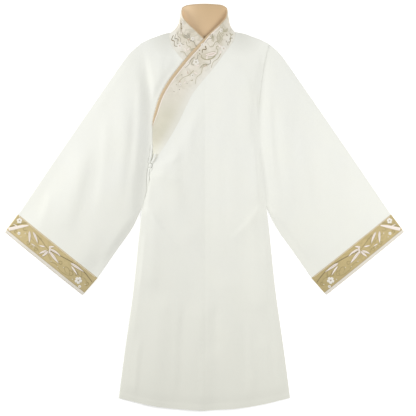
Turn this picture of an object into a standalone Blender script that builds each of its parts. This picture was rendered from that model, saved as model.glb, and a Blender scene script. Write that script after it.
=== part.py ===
"""A cross-collar robe laid flat on its back, with the front up.

+Y runs from the hem to the neck, +X to the wearer's left and +Z up. The origin is on the surface that the
robe lies on, under its middle. Lengths are in metres. Each piece that a maker cuts is one closed wall of
cloth, and "left" and "right" are the wearer's.
"""

from collections import namedtuple

import bmesh
import bpy
import numpy as np

MM = 0.001

# Walls and the spaces between them
WALL = 1.2 * MM
LINING_WALL = 1.0 * MM
CUFF_WALL = 1.6 * MM
SEAM_GAP = 0.3 * MM
LAYER_GAP = 0.4 * MM
COLLAR_GAP = 0.5 * MM

# Underside of each layer of the front where the cloth lies flat: the under front, then the over front
UNDER_LEVEL = WALL + LAYER_GAP
OVER_LEVEL = UNDER_LEVEL + WALL + LAYER_GAP

# Outline of one half, from points on the finished edges
Point = namedtuple("Point", "x y")
HEM = [Point(0.0, -0.6506), Point(0.145, -0.638), Point(0.274, -0.610)]
SIDE = [
    Point(0.274, -0.610),
    Point(0.254, -0.456),
    Point(0.227, -0.264),
    Point(0.208, -0.080),
    Point(0.199, 0.002),
]
ARMHOLE = [
    Point(0.199, 0.002),
    Point(0.190, 0.085),
    Point(0.178, 0.190),
    Point(0.173, 0.290),
    Point(0.180, 0.390),
    Point(0.195, 0.480),
    Point(0.206, 0.5245),
]
SHOULDER = [Point(0.206, 0.5245), Point(0.176, 0.5392), Point(0.144, 0.5490), Point(0.1112, 0.5498)]
SLEEVE_TOP = [
    Point(0.206, 0.5245),
    Point(0.240, 0.4944),
    Point(0.2576, 0.472),
    Point(0.3024, 0.408),
    Point(0.4576, 0.184),
    Point(0.5974, -0.0218),
]
SLEEVE_UNDER = [Point(0.199, 0.002), Point(0.2285, -0.062), Point(0.280, -0.136), Point(0.3424, -0.2256)]
CUFF_INNER = [Point(0.5974, -0.0218), Point(0.3424, -0.2256)]
CUFF_OUTER = [Point(0.6374, -0.0752), Point(0.3878, -0.2774)]
LAP_EDGE = [Point(0.199, 0.002), Point(0.187, 0.040), Point(0.1744, 0.088), Point(0.1648, 0.1424)]

# The white edging takes this share of the cuff's depth
EDGING_SHARE = 0.08

# The collar is one long strip, stated from the middle of the back to its end at the waist. The seam is its
# edge on the robe and the free edge is round the neck. Heights are of the strip's inner face: over the floor
# where hold is 0, and over the front that the strip is sewn to where hold is 1. sag bends the middle toward
# the neck, and lining is the share of the width where the satin facing starts.
CollarRow = namedtuple("CollarRow", "seam_x seam_y free_x free_y seam_z over_z under_z hold sag lining")
COLLAR = [
    CollarRow(0.0000, 0.5344, 0.0000, 0.6506, 1.2 * MM, 1.5 * MM, 1.5 * MM, 0.0, 0.000, 0.05),
    CollarRow(0.0400, 0.5362, 0.0320, 0.6499, 1.2 * MM, 1.7 * MM, 1.7 * MM, 0.0, 0.001, 0.05),
    CollarRow(0.0800, 0.5415, 0.0590, 0.6462, 1.2 * MM, 2.6 * MM, 2.6 * MM, 0.0, 0.003, 0.12),
    CollarRow(0.1020, 0.5462, 0.0690, 0.6370, 1.2 * MM, 5.6 * MM, 5.6 * MM, 0.0, 0.005, 0.35),
    CollarRow(0.1100, 0.5505, 0.0708, 0.6240, 1.7 * MM, 11.5 * MM, 11.5 * MM, 0.0, 0.006, 0.45),
    CollarRow(0.1085, 0.5470, 0.0675, 0.6085, 0.2 * MM, 15.0 * MM, 14.5 * MM, 1.0, 0.005, 0.45),
    CollarRow(0.1000, 0.5385, 0.0528, 0.5904, 0.0 * MM, 15.0 * MM, 13.0 * MM, 1.0, 0.003, 0.45),
    CollarRow(0.0816, 0.5168, 0.0304, 0.5696, 0.0 * MM, 11.5 * MM, 8.5 * MM, 1.0, 0.001, 0.45),
    CollarRow(0.0560, 0.4816, -0.0048, 0.5360, 0.0 * MM, 7.5 * MM, 3.8 * MM, 1.0, 0.000, 0.45),
    CollarRow(0.0272, 0.4432, -0.0419, 0.4976, 0.0 * MM, 4.0 * MM, 0.6 * MM, 1.0, 0.000, 0.45),
    CollarRow(-0.0112, 0.3984, -0.0784, 0.4544, 0.0 * MM, 2.0 * MM, 0.0 * MM, 1.0, 0.000, 0.45),
    CollarRow(-0.0400, 0.3600, -0.1130, 0.4060, 0.0 * MM, 1.2 * MM, 0.0 * MM, 1.0, 0.000, 0.45),
    CollarRow(-0.0576, 0.3248, -0.1366, 0.3642, 0.0 * MM, 1.0 * MM, 0.0 * MM, 1.0, 0.000, 0.45),
    CollarRow(-0.0960, 0.2480, -0.1536, 0.3088, 0.0 * MM, 1.0 * MM, 0.0 * MM, 1.0, 0.000, 0.45),
    CollarRow(-0.1392, 0.1792, -0.1632, 0.2840, 0.0 * MM, 1.0 * MM, 0.0 * MM, 1.0, 0.000, 0.45),
    CollarRow(-0.1648, 0.1424, -0.1648, 0.2746, 0.0 * MM, 1.0 * MM, 0.0 * MM, 1.0, 0.000, 0.45),
]
NECK_ROW = 4
BACK_NECK_END = -2
FIRST_FRONT_ROW = 5
UNDER_FREE_ROW = 8
LINING_ROWS = 8
UNDER_PIPING_ROWS = 10
COLLAR_STEPS = 3
COLLAR_COLUMNS = 5
COLLAR_EASE = 1.35

# The piping that binds the free edge: its width along the collar's face, how far its middle stands out on each
# side, and the share of that at its edges
PIPING_WIDTH = 8.0 * MM
PIPING_OUT = 1.2 * MM
PIPING_IN = 0.9 * MM
PIPING_EDGE_SHARE = 0.4

# Ties at the waist: strips of cloth, from the collar's end to a knot, and two ends that hang from the knot.
# above is from the over front's underside to the strip's.
TIE_WIDTH = 7.0 * MM
TIE_WALL = 1.0 * MM
TieRow = namedtuple("TieRow", "name above points")
TIES = [
    TieRow("tie_outer", 0.9 * MM, [Point(-0.1687, 0.1985), Point(-0.1705, 0.1760), Point(-0.1772, 0.1412)]),
    TieRow("tie_inner", 1.6 * MM, [Point(-0.1575, 0.1720), Point(-0.1610, 0.1590), Point(-0.1698, 0.1412)]),
    TieRow("tie_end_long", 1.5 * MM, [Point(-0.1772, 0.1268), Point(-0.1800, 0.0960), Point(-0.1785, 0.0480)]),
    TieRow("tie_end_short", 1.5 * MM, [Point(-0.1698, 0.1268), Point(-0.1720, 0.1000), Point(-0.1700, 0.0660)]),
]
KNOT_AT = Point(-0.1735, 0.1340)
KNOT_SIZE = (14.0 * MM, 13.0 * MM, 4.5 * MM)

# Soft ridges of the cloth: a run from start to end, how far each side reaches, and its height
Ridge = namedtuple("Ridge", "x0 y0 x1 y1 reach height")
BODY_RIDGES = [
    Ridge(0.150, 0.300, 0.170, 0.060, 0.034, 2.2 * MM),
    Ridge(-0.140, 0.100, -0.050, -0.080, 0.040, 2.8 * MM),
    Ridge(-0.165, -0.020, -0.180, -0.220, 0.034, 2.4 * MM),
    Ridge(0.160, -0.040, 0.185, -0.300, 0.036, 3.0 * MM),
    Ridge(0.095, 0.420, 0.050, 0.220, 0.045, 2.2 * MM),
    Ridge(-0.135, 0.450, -0.150, 0.330, 0.034, 2.0 * MM),
    Ridge(-0.165, -0.640, -0.130, -0.330, 0.042, 3.4 * MM),
    Ridge(-0.040, -0.650, -0.025, -0.360, 0.046, 2.8 * MM),
    Ridge(0.095, -0.650, 0.070, -0.260, 0.044, 3.6 * MM),
    Ridge(0.205, -0.630, 0.190, -0.450, 0.034, 2.6 * MM),
]
SLEEVE_RIDGES = [
    Ridge(0.240, 0.330, 0.310, 0.060, 0.042, 1.4 * MM),
    Ridge(0.235, 0.010, 0.385, -0.170, 0.034, 1.2 * MM),
    Ridge(0.400, 0.170, 0.500, -0.060, 0.040, 1.0 * MM),
    Ridge(-0.250, 0.360, -0.300, 0.030, 0.040, 1.3 * MM),
    Ridge(-0.230, 0.000, -0.370, -0.160, 0.036, 1.4 * MM),
    Ridge(-0.430, 0.140, -0.480, -0.040, 0.044, 1.1 * MM),
]
BODY_CROWN = 1.6 * MM
SLEEVE_CROWN = 1.4 * MM

# The under front lifts by this share of the over front's lift
UNDER_SHARE = 0.5

# Where the lift of the body's cloth sets in: this far in from a side seam or armhole, downward from the
# shoulders, and upward from below the hem
LIFT_INSET = 0.060
LIFT_TOP_Y = 0.530
LIFT_TOP_RUN = 0.090
LIFT_HEM_Y = -0.700
LIFT_HEM_RUN = 0.200

# Where the over front comes down because the under front ends: past the under collar's free edge on the left
# chest, and past the armhole
UNCOVERED_START = 0.010
UNCOVERED_RUN = 0.070
UNCOVERED_SIDE_RUN = 0.060

# Shares of a sleeve's width and length over which its crown and its ridges set in
CROWN_EDGE = 0.25
CROWN_START = 0.3
RIDGE_EDGE = 0.12

# Rows and columns of each piece's grid, and the narrow column at a fold of a flattened tube
BACK_ROWS = 24
BACK_COLUMNS = 12
BODY_ROWS = 32
FRONT_COLUMNS = 11
LAP_ROWS = 26
SLEEVE_ROWS = 15
SLEEVE_COLUMNS = 9
CUFF_ROWS = 3
SLEEVE_WIDTH = 0.5
CUFF_WIDTH = 0.33
FOLD_REACH = 4.0 * MM
FOLD_INSET = 0.55
LINE_POINTS = 30

LEFT = 1
RIGHT = -1

COLOURS = {
    "cloth": (0.823, 0.823, 0.776, 1.0),
    "brocade": (0.716, 0.666, 0.584, 1.0),
    "gold_brocade": (0.597, 0.491, 0.270, 1.0),
    "satin": (0.617, 0.451, 0.258, 1.0),
    "edging": (0.930, 0.930, 0.905, 1.0),
}


def clear_scene():
    for obj in list(bpy.data.objects):
        bpy.data.objects.remove(obj, do_unlink=True)


def materials():
    """One material for each kind of cloth."""
    made = {}
    for name, colour in COLOURS.items():
        material = bpy.data.materials.new(name)
        material.use_nodes = True
        shader = material.node_tree.nodes["Principled BSDF"]
        shader.inputs["Base Color"].default_value = colour
        shader.inputs["Roughness"].default_value = 0.45 if name == "satin" else 0.7
        shader.inputs["Metallic"].default_value = 0.0
        made[name] = material
    return made


def smooth(rows, steps=10, places=2):
    """A dense smooth line through rows of numbers, with steps points to each stretch between two rows.

    The first columns, as many as places says, are coordinates and space the rest.
    """
    rows = np.array(rows, float)
    run = np.linalg.norm(np.diff(rows[:, :places], axis=0), axis=1)[:, None]
    slope = np.diff(rows, axis=0) / run
    middle = (slope[:-1] * run[1:] + slope[1:] * run[:-1]) / (run[:-1] + run[1:])
    tangent = np.vstack([slope[:1], middle, slope[-1:]])
    t = (np.arange(steps) / steps)[None, :, None]
    start, end = rows[:-1, None], rows[1:, None]
    leave, arrive = (tangent[:-1] * run)[:, None], (tangent[1:] * run)[:, None]
    line = (
        start * (2 * t**3 - 3 * t**2 + 1)
        + leave * (t**3 - 2 * t**2 + t)
        + end * (3 * t**2 - 2 * t**3)
        + arrive * (t**3 - t**2)
    )
    return np.vstack([line.reshape(-1, rows.shape[1]), rows[-1:]])


def spaced(line, shares):
    """The points of a line at the given shares of its length."""
    line = np.array(line, float)
    length = np.concatenate([[0.0], np.cumsum(np.linalg.norm(np.diff(line, axis=0), axis=1))])
    at = np.asarray(shares) * length[-1]
    return np.stack([np.interp(at, length, line[:, k]) for k in range(line.shape[1])], axis=1)


def blended(low, high, near, far, across, along):
    """Plan points of a four-sided piece, blended from its low and high edges and its near and far edges."""
    u = np.asarray(across)[None, :, None]
    v = np.asarray(along)[:, None, None]
    low, high = spaced(low, across)[None], spaced(high, across)[None]
    near, far = spaced(near, along)[:, None], spaced(far, along)[:, None]
    low_corners = (1 - u) * low[:, :1] + u * low[:, -1:]
    high_corners = (1 - u) * high[:, :1] + u * high[:, -1:]
    corners = (1 - v) * low_corners + v * high_corners
    return (1 - v) * low + v * high + (1 - u) * near + u * far - corners


def step(value):
    """A smooth step from 0 to 1 as value goes from 0 to 1."""
    t = np.clip(value, 0.0, 1.0)
    return t * t * (3 - 2 * t)


def mirrored(line, side):
    return np.array(line, float) * (side, 1)


def moved(line, dx=0.0, dy=0.0):
    return np.array(line, float) + (dx, dy)


def ridges(x, y, rows):
    """The summed height of soft ridges at each place."""
    height = np.zeros(np.shape(x))
    for row in rows:
        start, run = np.array([row.x0, row.y0]), np.array([row.x1 - row.x0, row.y1 - row.y0])
        along = np.clip(((x - start[0]) * run[0] + (y - start[1]) * run[1]) / (run @ run), 0, 1)
        away = np.hypot(x - start[0] - along * run[0], y - start[1] - along * run[1])
        height += row.height * np.exp(-((away / row.reach) ** 2))
    return height


BODY_EDGE = np.vstack([smooth(SIDE), smooth(ARMHOLE)[1:]])
FRONT_SEAM = smooth([(row.seam_x, row.seam_y) for row in COLLAR[FIRST_FRONT_ROW:]])
BACK_NECK = smooth([(row.seam_x, row.seam_y) for row in COLLAR[: NECK_ROW + 1]])


def half_width(y):
    """From the middle to the side seam or the armhole."""
    return np.interp(y, BODY_EDGE[:, 1], BODY_EDGE[:, 0])


def body_lift(x, y):
    """How far the cloth of the over front stands above its flat level on the body."""
    inside = step((half_width(y) - np.abs(x)) / LIFT_INSET)
    below_shoulder = step((LIFT_TOP_Y - y) / LIFT_TOP_RUN)
    crown = BODY_CROWN * step((y - LIFT_HEM_Y) / LIFT_HEM_RUN)
    return inside * below_shoulder * (crown + ridges(x, y, BODY_RIDGES))


def covered(x, y):
    """1 where the over front lies on the under front, and 0 where the under front has ended."""
    free = smooth([(-row.free_x, row.free_y) for row in COLLAR[UNDER_FREE_ROW:]])
    along = np.interp(x, free[:, 0], free[:, 1], left=free[0, 1], right=free[-1, 1])
    below_free_edge = 1 - step((y - along - UNCOVERED_START) / UNCOVERED_RUN)
    on_body = 1 - step((x - half_width(y)) / UNCOVERED_SIDE_RUN)
    return np.where(x < free[0, 0], 1.0, below_free_edge) * on_body


def under_height(x, y):
    """Underside of the under front."""
    return UNDER_LEVEL + UNDER_SHARE * body_lift(x, y)


def over_height(x, y):
    """Underside of the over front."""
    return UNDER_LEVEL + (OVER_LEVEL - UNDER_LEVEL) * covered(x, y) + body_lift(x, y)


def face(mesh_faces, corners, flip):
    mesh_faces.append(corners[::-1] if flip else corners)


def wall(name, outside, inside, material, around=False):
    """A closed wall between two grids of points. With around, each row of the grids closes on itself."""
    rows, columns = outside.shape[:2]
    number = np.arange(rows * columns).reshape(rows, columns)
    outer, inner = number, number + rows * columns
    last = columns if around else columns - 1
    faces = []
    for r in range(rows - 1):
        for c in range(last):
            d = (c + 1) % columns
            face(faces, [outer[r, c], outer[r, d], outer[r + 1, d], outer[r + 1, c]], False)
            face(faces, [inner[r, c], inner[r, d], inner[r + 1, d], inner[r + 1, c]], True)
    for c in range(last):
        d = (c + 1) % columns
        face(faces, [outer[0, c], outer[0, d], inner[0, d], inner[0, c]], True)
        face(faces, [outer[-1, c], outer[-1, d], inner[-1, d], inner[-1, c]], False)
    if not around:
        for r in range(rows - 1):
            face(faces, [outer[r, 0], outer[r + 1, 0], inner[r + 1, 0], inner[r, 0]], False)
            face(faces, [outer[r, -1], outer[r + 1, -1], inner[r + 1, -1], inner[r, -1]], True)
    points = np.vstack([outside.reshape(-1, 3), inside.reshape(-1, 3)])
    return made(name, points, faces, material)


def made(name, points, faces, material):
    """An object from points and faces, with its faces turned outward."""
    mesh = bpy.data.meshes.new(name)
    mesh.from_pydata([tuple(p) for p in points.tolist()], [], [[int(i) for i in f] for f in faces])
    work = bmesh.new()
    work.from_mesh(mesh)
    bmesh.ops.recalc_face_normals(work, faces=work.faces)
    work.to_mesh(mesh)
    work.free()
    mesh.materials.append(material)
    mesh.shade_smooth()
    mesh.set_sharp_from_angle(angle=np.radians(40))
    obj = bpy.data.objects.new(name, mesh)
    bpy.context.scene.collection.objects.link(obj)
    return obj


def raised(plan, height):
    """Points of a plan grid at a height, which is a number or one for each point."""
    return np.concatenate([plan, np.broadcast_to(height, plan.shape[:2])[..., None]], axis=2)


def panel(name, plan, height, material):
    """A piece of cloth over a plan grid, with its underside at the given height."""
    low = np.broadcast_to(height, plan.shape[:2])
    return wall(name, raised(plan, low + WALL), raised(plan, low), material)


def centre_line(top_y, side):
    return [(side * SEAM_GAP / 2, HEM[0].y), (side * SEAM_GAP / 2, top_y)]


def body_outer(side):
    """Side seam and armhole of one half, from the hem to the shoulder tip."""
    return moved(mirrored(BODY_EDGE, side), -side * SEAM_GAP / 2)


def hem_line(side):
    line = spaced(mirrored(smooth(HEM), side), np.linspace(0, 1, LINE_POINTS))
    return moved(line, side * SEAM_GAP / 2)


def back(name, side, material):
    """One half of the back, from the centre back seam to the side and armhole."""
    neck = moved(mirrored(BACK_NECK[:BACK_NECK_END], side), dy=-COLLAR_GAP)
    top = np.vstack([neck, mirrored(smooth(SHOULDER)[::-1], side)])
    across, along = np.linspace(0, 1, BACK_COLUMNS + 1), np.linspace(0, 1, BACK_ROWS + 1)
    centre = centre_line(BACK_NECK[0, 1], side)
    plan = blended(hem_line(side), top, centre, body_outer(side), across, along)
    return panel(name, plan, 0.0, material)


def seam_at_centre():
    """Where the front collar seam crosses the centre line, as a place in its list of points."""
    return int(np.argmin(np.abs(FRONT_SEAM[:, 0])))


def front_half(name, side, height, material):
    """The half front from its shoulder to the hem, cut off at the collar seam."""
    seam = mirrored(FRONT_SEAM[: seam_at_centre() + 1][::-1], side)
    shoulder = mirrored(smooth(SHOULDER)[::-1], side)
    top = np.vstack([seam, shoulder])
    across, along = np.linspace(0, 1, FRONT_COLUMNS + 1), np.linspace(0, 1, BODY_ROWS + 1)
    plan = blended(hem_line(side), top, centre_line(seam[0, 1], side), body_outer(side), across, along)
    return panel(name, plan, height(plan[..., 0], plan[..., 1]), material)


def lap(name, side, height, material):
    """The lap panel, sewn on at the centre front, which crosses to the other side and ends at the collar."""
    seam = mirrored(FRONT_SEAM[seam_at_centre() :], side)
    outer = np.vstack([mirrored(smooth(SIDE), -side), mirrored(smooth(LAP_EDGE)[1:], -side)])
    across, along = np.linspace(0, 1, FRONT_COLUMNS + 1), np.linspace(0, 1, LAP_ROWS + 1)
    plan = blended(hem_line(-side), seam, centre_line(seam[0, 1], -side), outer, across, along)
    return panel(name, plan, height(plan[..., 0], plan[..., 1]), material)


def flat_tube(name, plan, low, thick, material):
    """A flattened tube: its front's underside is at low, its back is on the floor, its edges are folds."""
    fold = (low[:, [0, -1]] + thick) / 2
    top, under = raised(plan, low + thick), raised(plan, 0.0)
    ends = raised(plan[:, [0, -1]], fold)
    outside = np.concatenate([ends[:, :1], top[:, 1:-1], ends[:, 1:], under[:, -2:0:-1]], axis=1)
    inset = plan[:, [0, -1]] + FOLD_INSET * (plan[:, [1, -2]] - plan[:, [0, -1]])
    top, under = raised(plan, low), raised(plan, thick)
    ends = raised(inset, fold)
    inside = np.concatenate([ends[:, :1], top[:, 1:-1], ends[:, 1:], under[:, -2:0:-1]], axis=1)
    return wall(name, outside, inside, material, around=True)


def fold_spacing(columns, width):
    """Shares across a flattened tube, with a narrow column at each fold."""
    edge = FOLD_REACH / width
    return np.concatenate([[0.0], np.linspace(edge, 1 - edge, columns + 1), [1.0]])


def sleeve_crown(along, across):
    """The slight loft of a sleeve, which dies away at its armhole and its folded edges."""
    edges = step(across / CROWN_EDGE) * step((1 - across) / CROWN_EDGE)
    return SLEEVE_CROWN * edges * step(along / CROWN_START)


def sleeve_ridges(plan, across):
    """The ridges of a sleeve or cuff, which die away at its folded edges."""
    edges = step(across / RIDGE_EDGE) * step((1 - across) / RIDGE_EDGE)
    return edges[None] * ridges(plan[..., 0], plan[..., 1], SLEEVE_RIDGES)


def sleeve(name, side, height, material):
    """A sleeve from its armhole to the cuff's seam."""
    across = fold_spacing(SLEEVE_COLUMNS, SLEEVE_WIDTH)
    along = np.linspace(0, 1, SLEEVE_ROWS + 1)
    armhole = moved(mirrored(smooth(ARMHOLE)[::-1], side), side * SEAM_GAP / 2)
    top, under = mirrored(smooth(SLEEVE_TOP), side), mirrored(smooth(SLEEVE_UNDER), side)
    top[0], under[0] = armhole[0], armhole[-1]
    plan = blended(armhole, mirrored(CUFF_INNER, side), top, under, across, along)
    loft = sleeve_crown(along[:, None], across[None]) + sleeve_ridges(plan, across)
    flat_tube(name, plan, height(plan[..., 0], plan[..., 1]) + loft, WALL, material)


def cuff_plan(side, start, end, rows):
    """Plan grid of the stretch of a cuff between two shares of its depth."""
    across = fold_spacing(SLEEVE_COLUMNS, CUFF_WIDTH)
    inner, outer = (spaced(mirrored(line, side), across) for line in (CUFF_INNER, CUFF_OUTER))
    share = np.linspace(start, end, rows + 1)[:, None, None]
    return inner[None] * (1 - share) + outer[None] * share, across


def cuff(name, side, start, end, rows, material):
    """A band of the cuff, folded flat like the sleeve that it finishes."""
    plan, across = cuff_plan(side, start, end, rows)
    loft = sleeve_crown(1.0, across)[None] + sleeve_ridges(plan, across)
    flat_tube(name, plan, UNDER_LEVEL + CUFF_WALL - WALL + loft, CUFF_WALL, material)


def collar_lines():
    """The whole collar strip, from the over front's end round the neck to the under front's end.

    Each row has the seam point, the free point, the middle's sag, hold, where the lining starts, and 1 on the
    over side or 0 on the under side.
    """
    over, under = [], []
    for r in COLLAR:
        both = (r.hold, r.lining)
        over.append((r.seam_x, r.seam_y, r.seam_z, r.free_x, r.free_y, r.over_z, -r.sag, *both, 1.0))
        under.append((-r.seam_x, r.seam_y, r.seam_z, -r.free_x, r.free_y, r.under_z, r.sag, *both, 0.0))
    lines = smooth(over[::-1] + under[1:], COLLAR_STEPS, places=6)
    lines[:, 7:] = np.clip(lines[:, 7:], 0.0, 1.0)
    return lines


def collar_surface(lines, start, end, columns):
    """Points of the strip's inner face between two shares of its width, and the directions out of that face."""
    share = start + (end - start) * np.linspace(0, 1, columns + 1)[None, :]
    seam, free = lines[:, None, 0:3], lines[:, None, 3:6]
    ease = share**COLLAR_EASE
    x = seam[..., 0] + (free[..., 0] - seam[..., 0]) * share + lines[:, None, 6] * 4 * share * (1 - share)
    y = seam[..., 1] + (free[..., 1] - seam[..., 1]) * share
    z = seam[..., 2] + (free[..., 2] - seam[..., 2]) * ease
    over = lines[:, None, 9]
    rest = over * over_height(x, y) + (1 - over) * under_height(x, y)
    return np.stack([x, y, z + lines[:, None, 7] * rest], axis=2)


def outward(surface):
    """Unit directions out of a grid of points that runs along and across the collar."""
    along, across = np.gradient(surface, axis=0), np.gradient(surface, axis=1)
    out = np.cross(along, across)
    return out / np.linalg.norm(out, axis=2, keepdims=True)


def collar(material):
    """The brocade strip, which stops short of the free edge by the piping's width."""
    lines = collar_lines()
    width = np.linalg.norm(lines[:, 3:6] - lines[:, 0:3], axis=1)[:, None]
    surface = collar_surface(lines, COLLAR_GAP / width, 1 - (PIPING_WIDTH + SEAM_GAP) / width, COLLAR_COLUMNS)
    outside = surface + WALL * outward(surface)
    outside[..., 2] = np.maximum(outside[..., 2], 0.0)
    return wall("collar", outside, surface, material)


def collar_part(lines, over_rows, under_rows):
    """The stretch of the strip from so many stated rows before the middle of the back to so many after it."""
    middle = (len(COLLAR) - 1) * COLLAR_STEPS
    return lines[middle - over_rows * COLLAR_STEPS : middle + under_rows * COLLAR_STEPS + 1]


def collar_lining(material):
    """The satin that faces the collar's inside round the neck, where the neck opening shows it."""
    lines = collar_part(collar_lines(), LINING_ROWS, LINING_ROWS)
    width = np.linalg.norm(lines[:, 3:6] - lines[:, 0:3], axis=1)[:, None]
    surface = collar_surface(lines, lines[:, 8:9], 1 - (PIPING_WIDTH + SEAM_GAP) / width, COLLAR_COLUMNS - 1)
    out = outward(surface)
    return wall("collar_lining", surface - SEAM_GAP * out, surface - (SEAM_GAP + LINING_WALL) * out, material)


def piping(material):
    """The satin binding of the free edge: a flattened rib, a little proud of the collar on both faces."""
    lines = collar_part(collar_lines(), len(COLLAR) - 1, UNDER_PIPING_ROWS)
    width = np.linalg.norm(lines[:, 3:6] - lines[:, 0:3], axis=1)[:, None]
    surface = collar_surface(lines, 1 - PIPING_WIDTH / width, 1.0, 2)
    out = outward(surface)
    near, middle, far = surface[:, 0], surface[:, 1], surface[:, 2]
    ring = [
        near + PIPING_EDGE_SHARE * PIPING_OUT * out[:, 0],
        middle + PIPING_OUT * out[:, 1],
        far + PIPING_EDGE_SHARE * PIPING_OUT * out[:, 2],
        far - PIPING_EDGE_SHARE * PIPING_IN * out[:, 2],
        middle - PIPING_IN * out[:, 1],
        near - PIPING_EDGE_SHARE * PIPING_IN * out[:, 0],
    ]
    rings = np.stack(ring, axis=1)
    count = len(ring)
    faces = [
        [r * count + c, r * count + (c + 1) % count, (r + 1) * count + (c + 1) % count, (r + 1) * count + c]
        for r in range(len(rings) - 1)
        for c in range(count)
    ]
    faces += [list(range(count))[::-1], [(len(rings) - 1) * count + c for c in range(count)]]
    return made("piping", rings.reshape(-1, 3), faces, material)


def tie(name, above, points, material):
    """A strip of cloth along a hand-set path, this far above the over front's underside."""
    path = smooth(points, 4)
    run = np.gradient(path, axis=0)
    sideways = np.stack([-run[:, 1], run[:, 0]], axis=1) / np.linalg.norm(run, axis=1)[:, None]
    plan = path[:, None] + sideways[:, None] * (np.array([-0.5, 0.0, 0.5]) * TIE_WIDTH)[None, :, None]
    low = above + over_height(plan[..., 0], plan[..., 1]).max(axis=1, keepdims=True)
    return wall(name, raised(plan, low + TIE_WALL), raised(plan, low), material)


def knot(material):
    """The knot of the ties, a small flattened lump on the under front, beside the lap's edge."""
    work = bmesh.new()
    bmesh.ops.create_uvsphere(work, u_segments=12, v_segments=8, radius=0.5)
    points = np.array([vertex.co[:] for vertex in work.verts]) * KNOT_SIZE
    faces = [[vertex.index for vertex in polygon.verts] for polygon in work.faces]
    work.free()
    low = float(under_height(np.array(KNOT_AT.x), np.array(KNOT_AT.y))) + WALL + SEAM_GAP
    return made("tie_knot", points + (KNOT_AT.x, KNOT_AT.y, low + KNOT_SIZE[2] / 2), faces, material)


def build():
    clear_scene()
    cloth = materials()
    back("back_left", LEFT, cloth["cloth"])
    back("back_right", RIGHT, cloth["cloth"])
    front_half("front_right", RIGHT, under_height, cloth["cloth"])
    lap("lap_right", RIGHT, under_height, cloth["cloth"])
    front_half("front_left", LEFT, over_height, cloth["cloth"])
    lap("lap_left", LEFT, over_height, cloth["cloth"])
    for label, side, height in (("left", LEFT, over_height), ("right", RIGHT, under_height)):
        sleeve(f"sleeve_{label}", side, height, cloth["cloth"])
        depth = np.hypot(CUFF_OUTER[0].x - CUFF_INNER[0].x, CUFF_OUTER[0].y - CUFF_INNER[0].y)
        gap = SEAM_GAP / depth
        cuff(f"cuff_{label}", side, gap, 1 - EDGING_SHARE - gap, CUFF_ROWS, cloth["gold_brocade"])
        cuff(f"cuff_edge_{label}", side, 1 - EDGING_SHARE, 1.0, 1, cloth["edging"])
    collar(cloth["brocade"])
    collar_lining(cloth["satin"])
    piping(cloth["satin"])
    for row in TIES:
        tie(row.name, row.above, row.points, cloth["cloth"])
    knot(cloth["cloth"])


build()
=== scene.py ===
"""The looks of a cross-collar robe that is laid flat on its back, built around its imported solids.

+Y runs from the hem to the neck, +X to the wearer's left and +Z up, in metres. The first part repeats the
sizes of the solids, so that each cloth piece lies on its solid, and adds the creases, puffs and waves.
"""

from collections import namedtuple

import bpy
import numpy as np
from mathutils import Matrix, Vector


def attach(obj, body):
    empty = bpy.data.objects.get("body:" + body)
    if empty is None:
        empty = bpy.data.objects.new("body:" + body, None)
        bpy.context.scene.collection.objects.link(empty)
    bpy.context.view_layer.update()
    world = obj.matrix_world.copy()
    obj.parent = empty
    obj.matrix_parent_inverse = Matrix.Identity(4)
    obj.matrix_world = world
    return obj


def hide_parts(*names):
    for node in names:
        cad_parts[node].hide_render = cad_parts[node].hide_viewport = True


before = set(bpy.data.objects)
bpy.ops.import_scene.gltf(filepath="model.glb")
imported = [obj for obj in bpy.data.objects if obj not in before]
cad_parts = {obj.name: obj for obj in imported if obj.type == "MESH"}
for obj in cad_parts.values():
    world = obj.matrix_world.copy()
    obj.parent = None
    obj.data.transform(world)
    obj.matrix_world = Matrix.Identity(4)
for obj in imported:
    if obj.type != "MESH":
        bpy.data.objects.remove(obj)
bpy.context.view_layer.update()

MM = 0.001
LEFT, RIGHT = 1, -1


def in_mm(kind, lengths, rows):
    """The rows of a table, whose first values, as many as lengths says, are in millimetres."""
    return [kind(*(MM * value for value in row[:lengths]), *row[lengths:]) for row in rows]


# Sizes shared with the solids
WALL = 1.2 * MM
LINING_WALL = 1.0 * MM
CUFF_WALL = 1.6 * MM
SEAM_GAP = 0.3 * MM
LAYER_GAP = 0.4 * MM
COLLAR_GAP = 0.1 * MM
SEWN_GAP = 0.04 * MM
UNDER_LEVEL = WALL + LAYER_GAP
OVER_LEVEL = UNDER_LEVEL + WALL + LAYER_GAP

HEM = [(0.0, -0.6506), (0.145, -0.638), (0.274, -0.610)]
SIDE = [(0.274, -0.610), (0.254, -0.456), (0.227, -0.264), (0.208, -0.080), (0.199, 0.002)]
ARMHOLE = [
    (0.199, 0.002), (0.190, 0.085), (0.178, 0.190), (0.173, 0.290), (0.180, 0.390), (0.195, 0.480),
    (0.206, 0.5245),
]
SHOULDER = [(0.206, 0.5245), (0.176, 0.5392), (0.148, 0.5492), (0.130, 0.5558), (0.1140, 0.5592)]
# The over front reaches further in at the neck than the under front
OVER_SHOULDER = SHOULDER + [(0.1010, 0.5620)]
SLEEVE_TOP = [
    (0.206, 0.5245), (0.240, 0.4944), (0.2576, 0.472), (0.3024, 0.408), (0.4576, 0.184), (0.5974, -0.0218),
]
SLEEVE_UNDER = [(0.199, 0.002), (0.2285, -0.062), (0.280, -0.136), (0.3424, -0.2256)]
CUFF_INNER = [(0.5974, -0.0218), (0.3424, -0.2256)]
CUFF_OUTER = [(0.6374, -0.0752), (0.3878, -0.2774)]
LAP_EDGE = [(0.199, 0.002), (0.187, 0.040), (0.1744, 0.088), (0.1648, 0.1424)]

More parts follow.
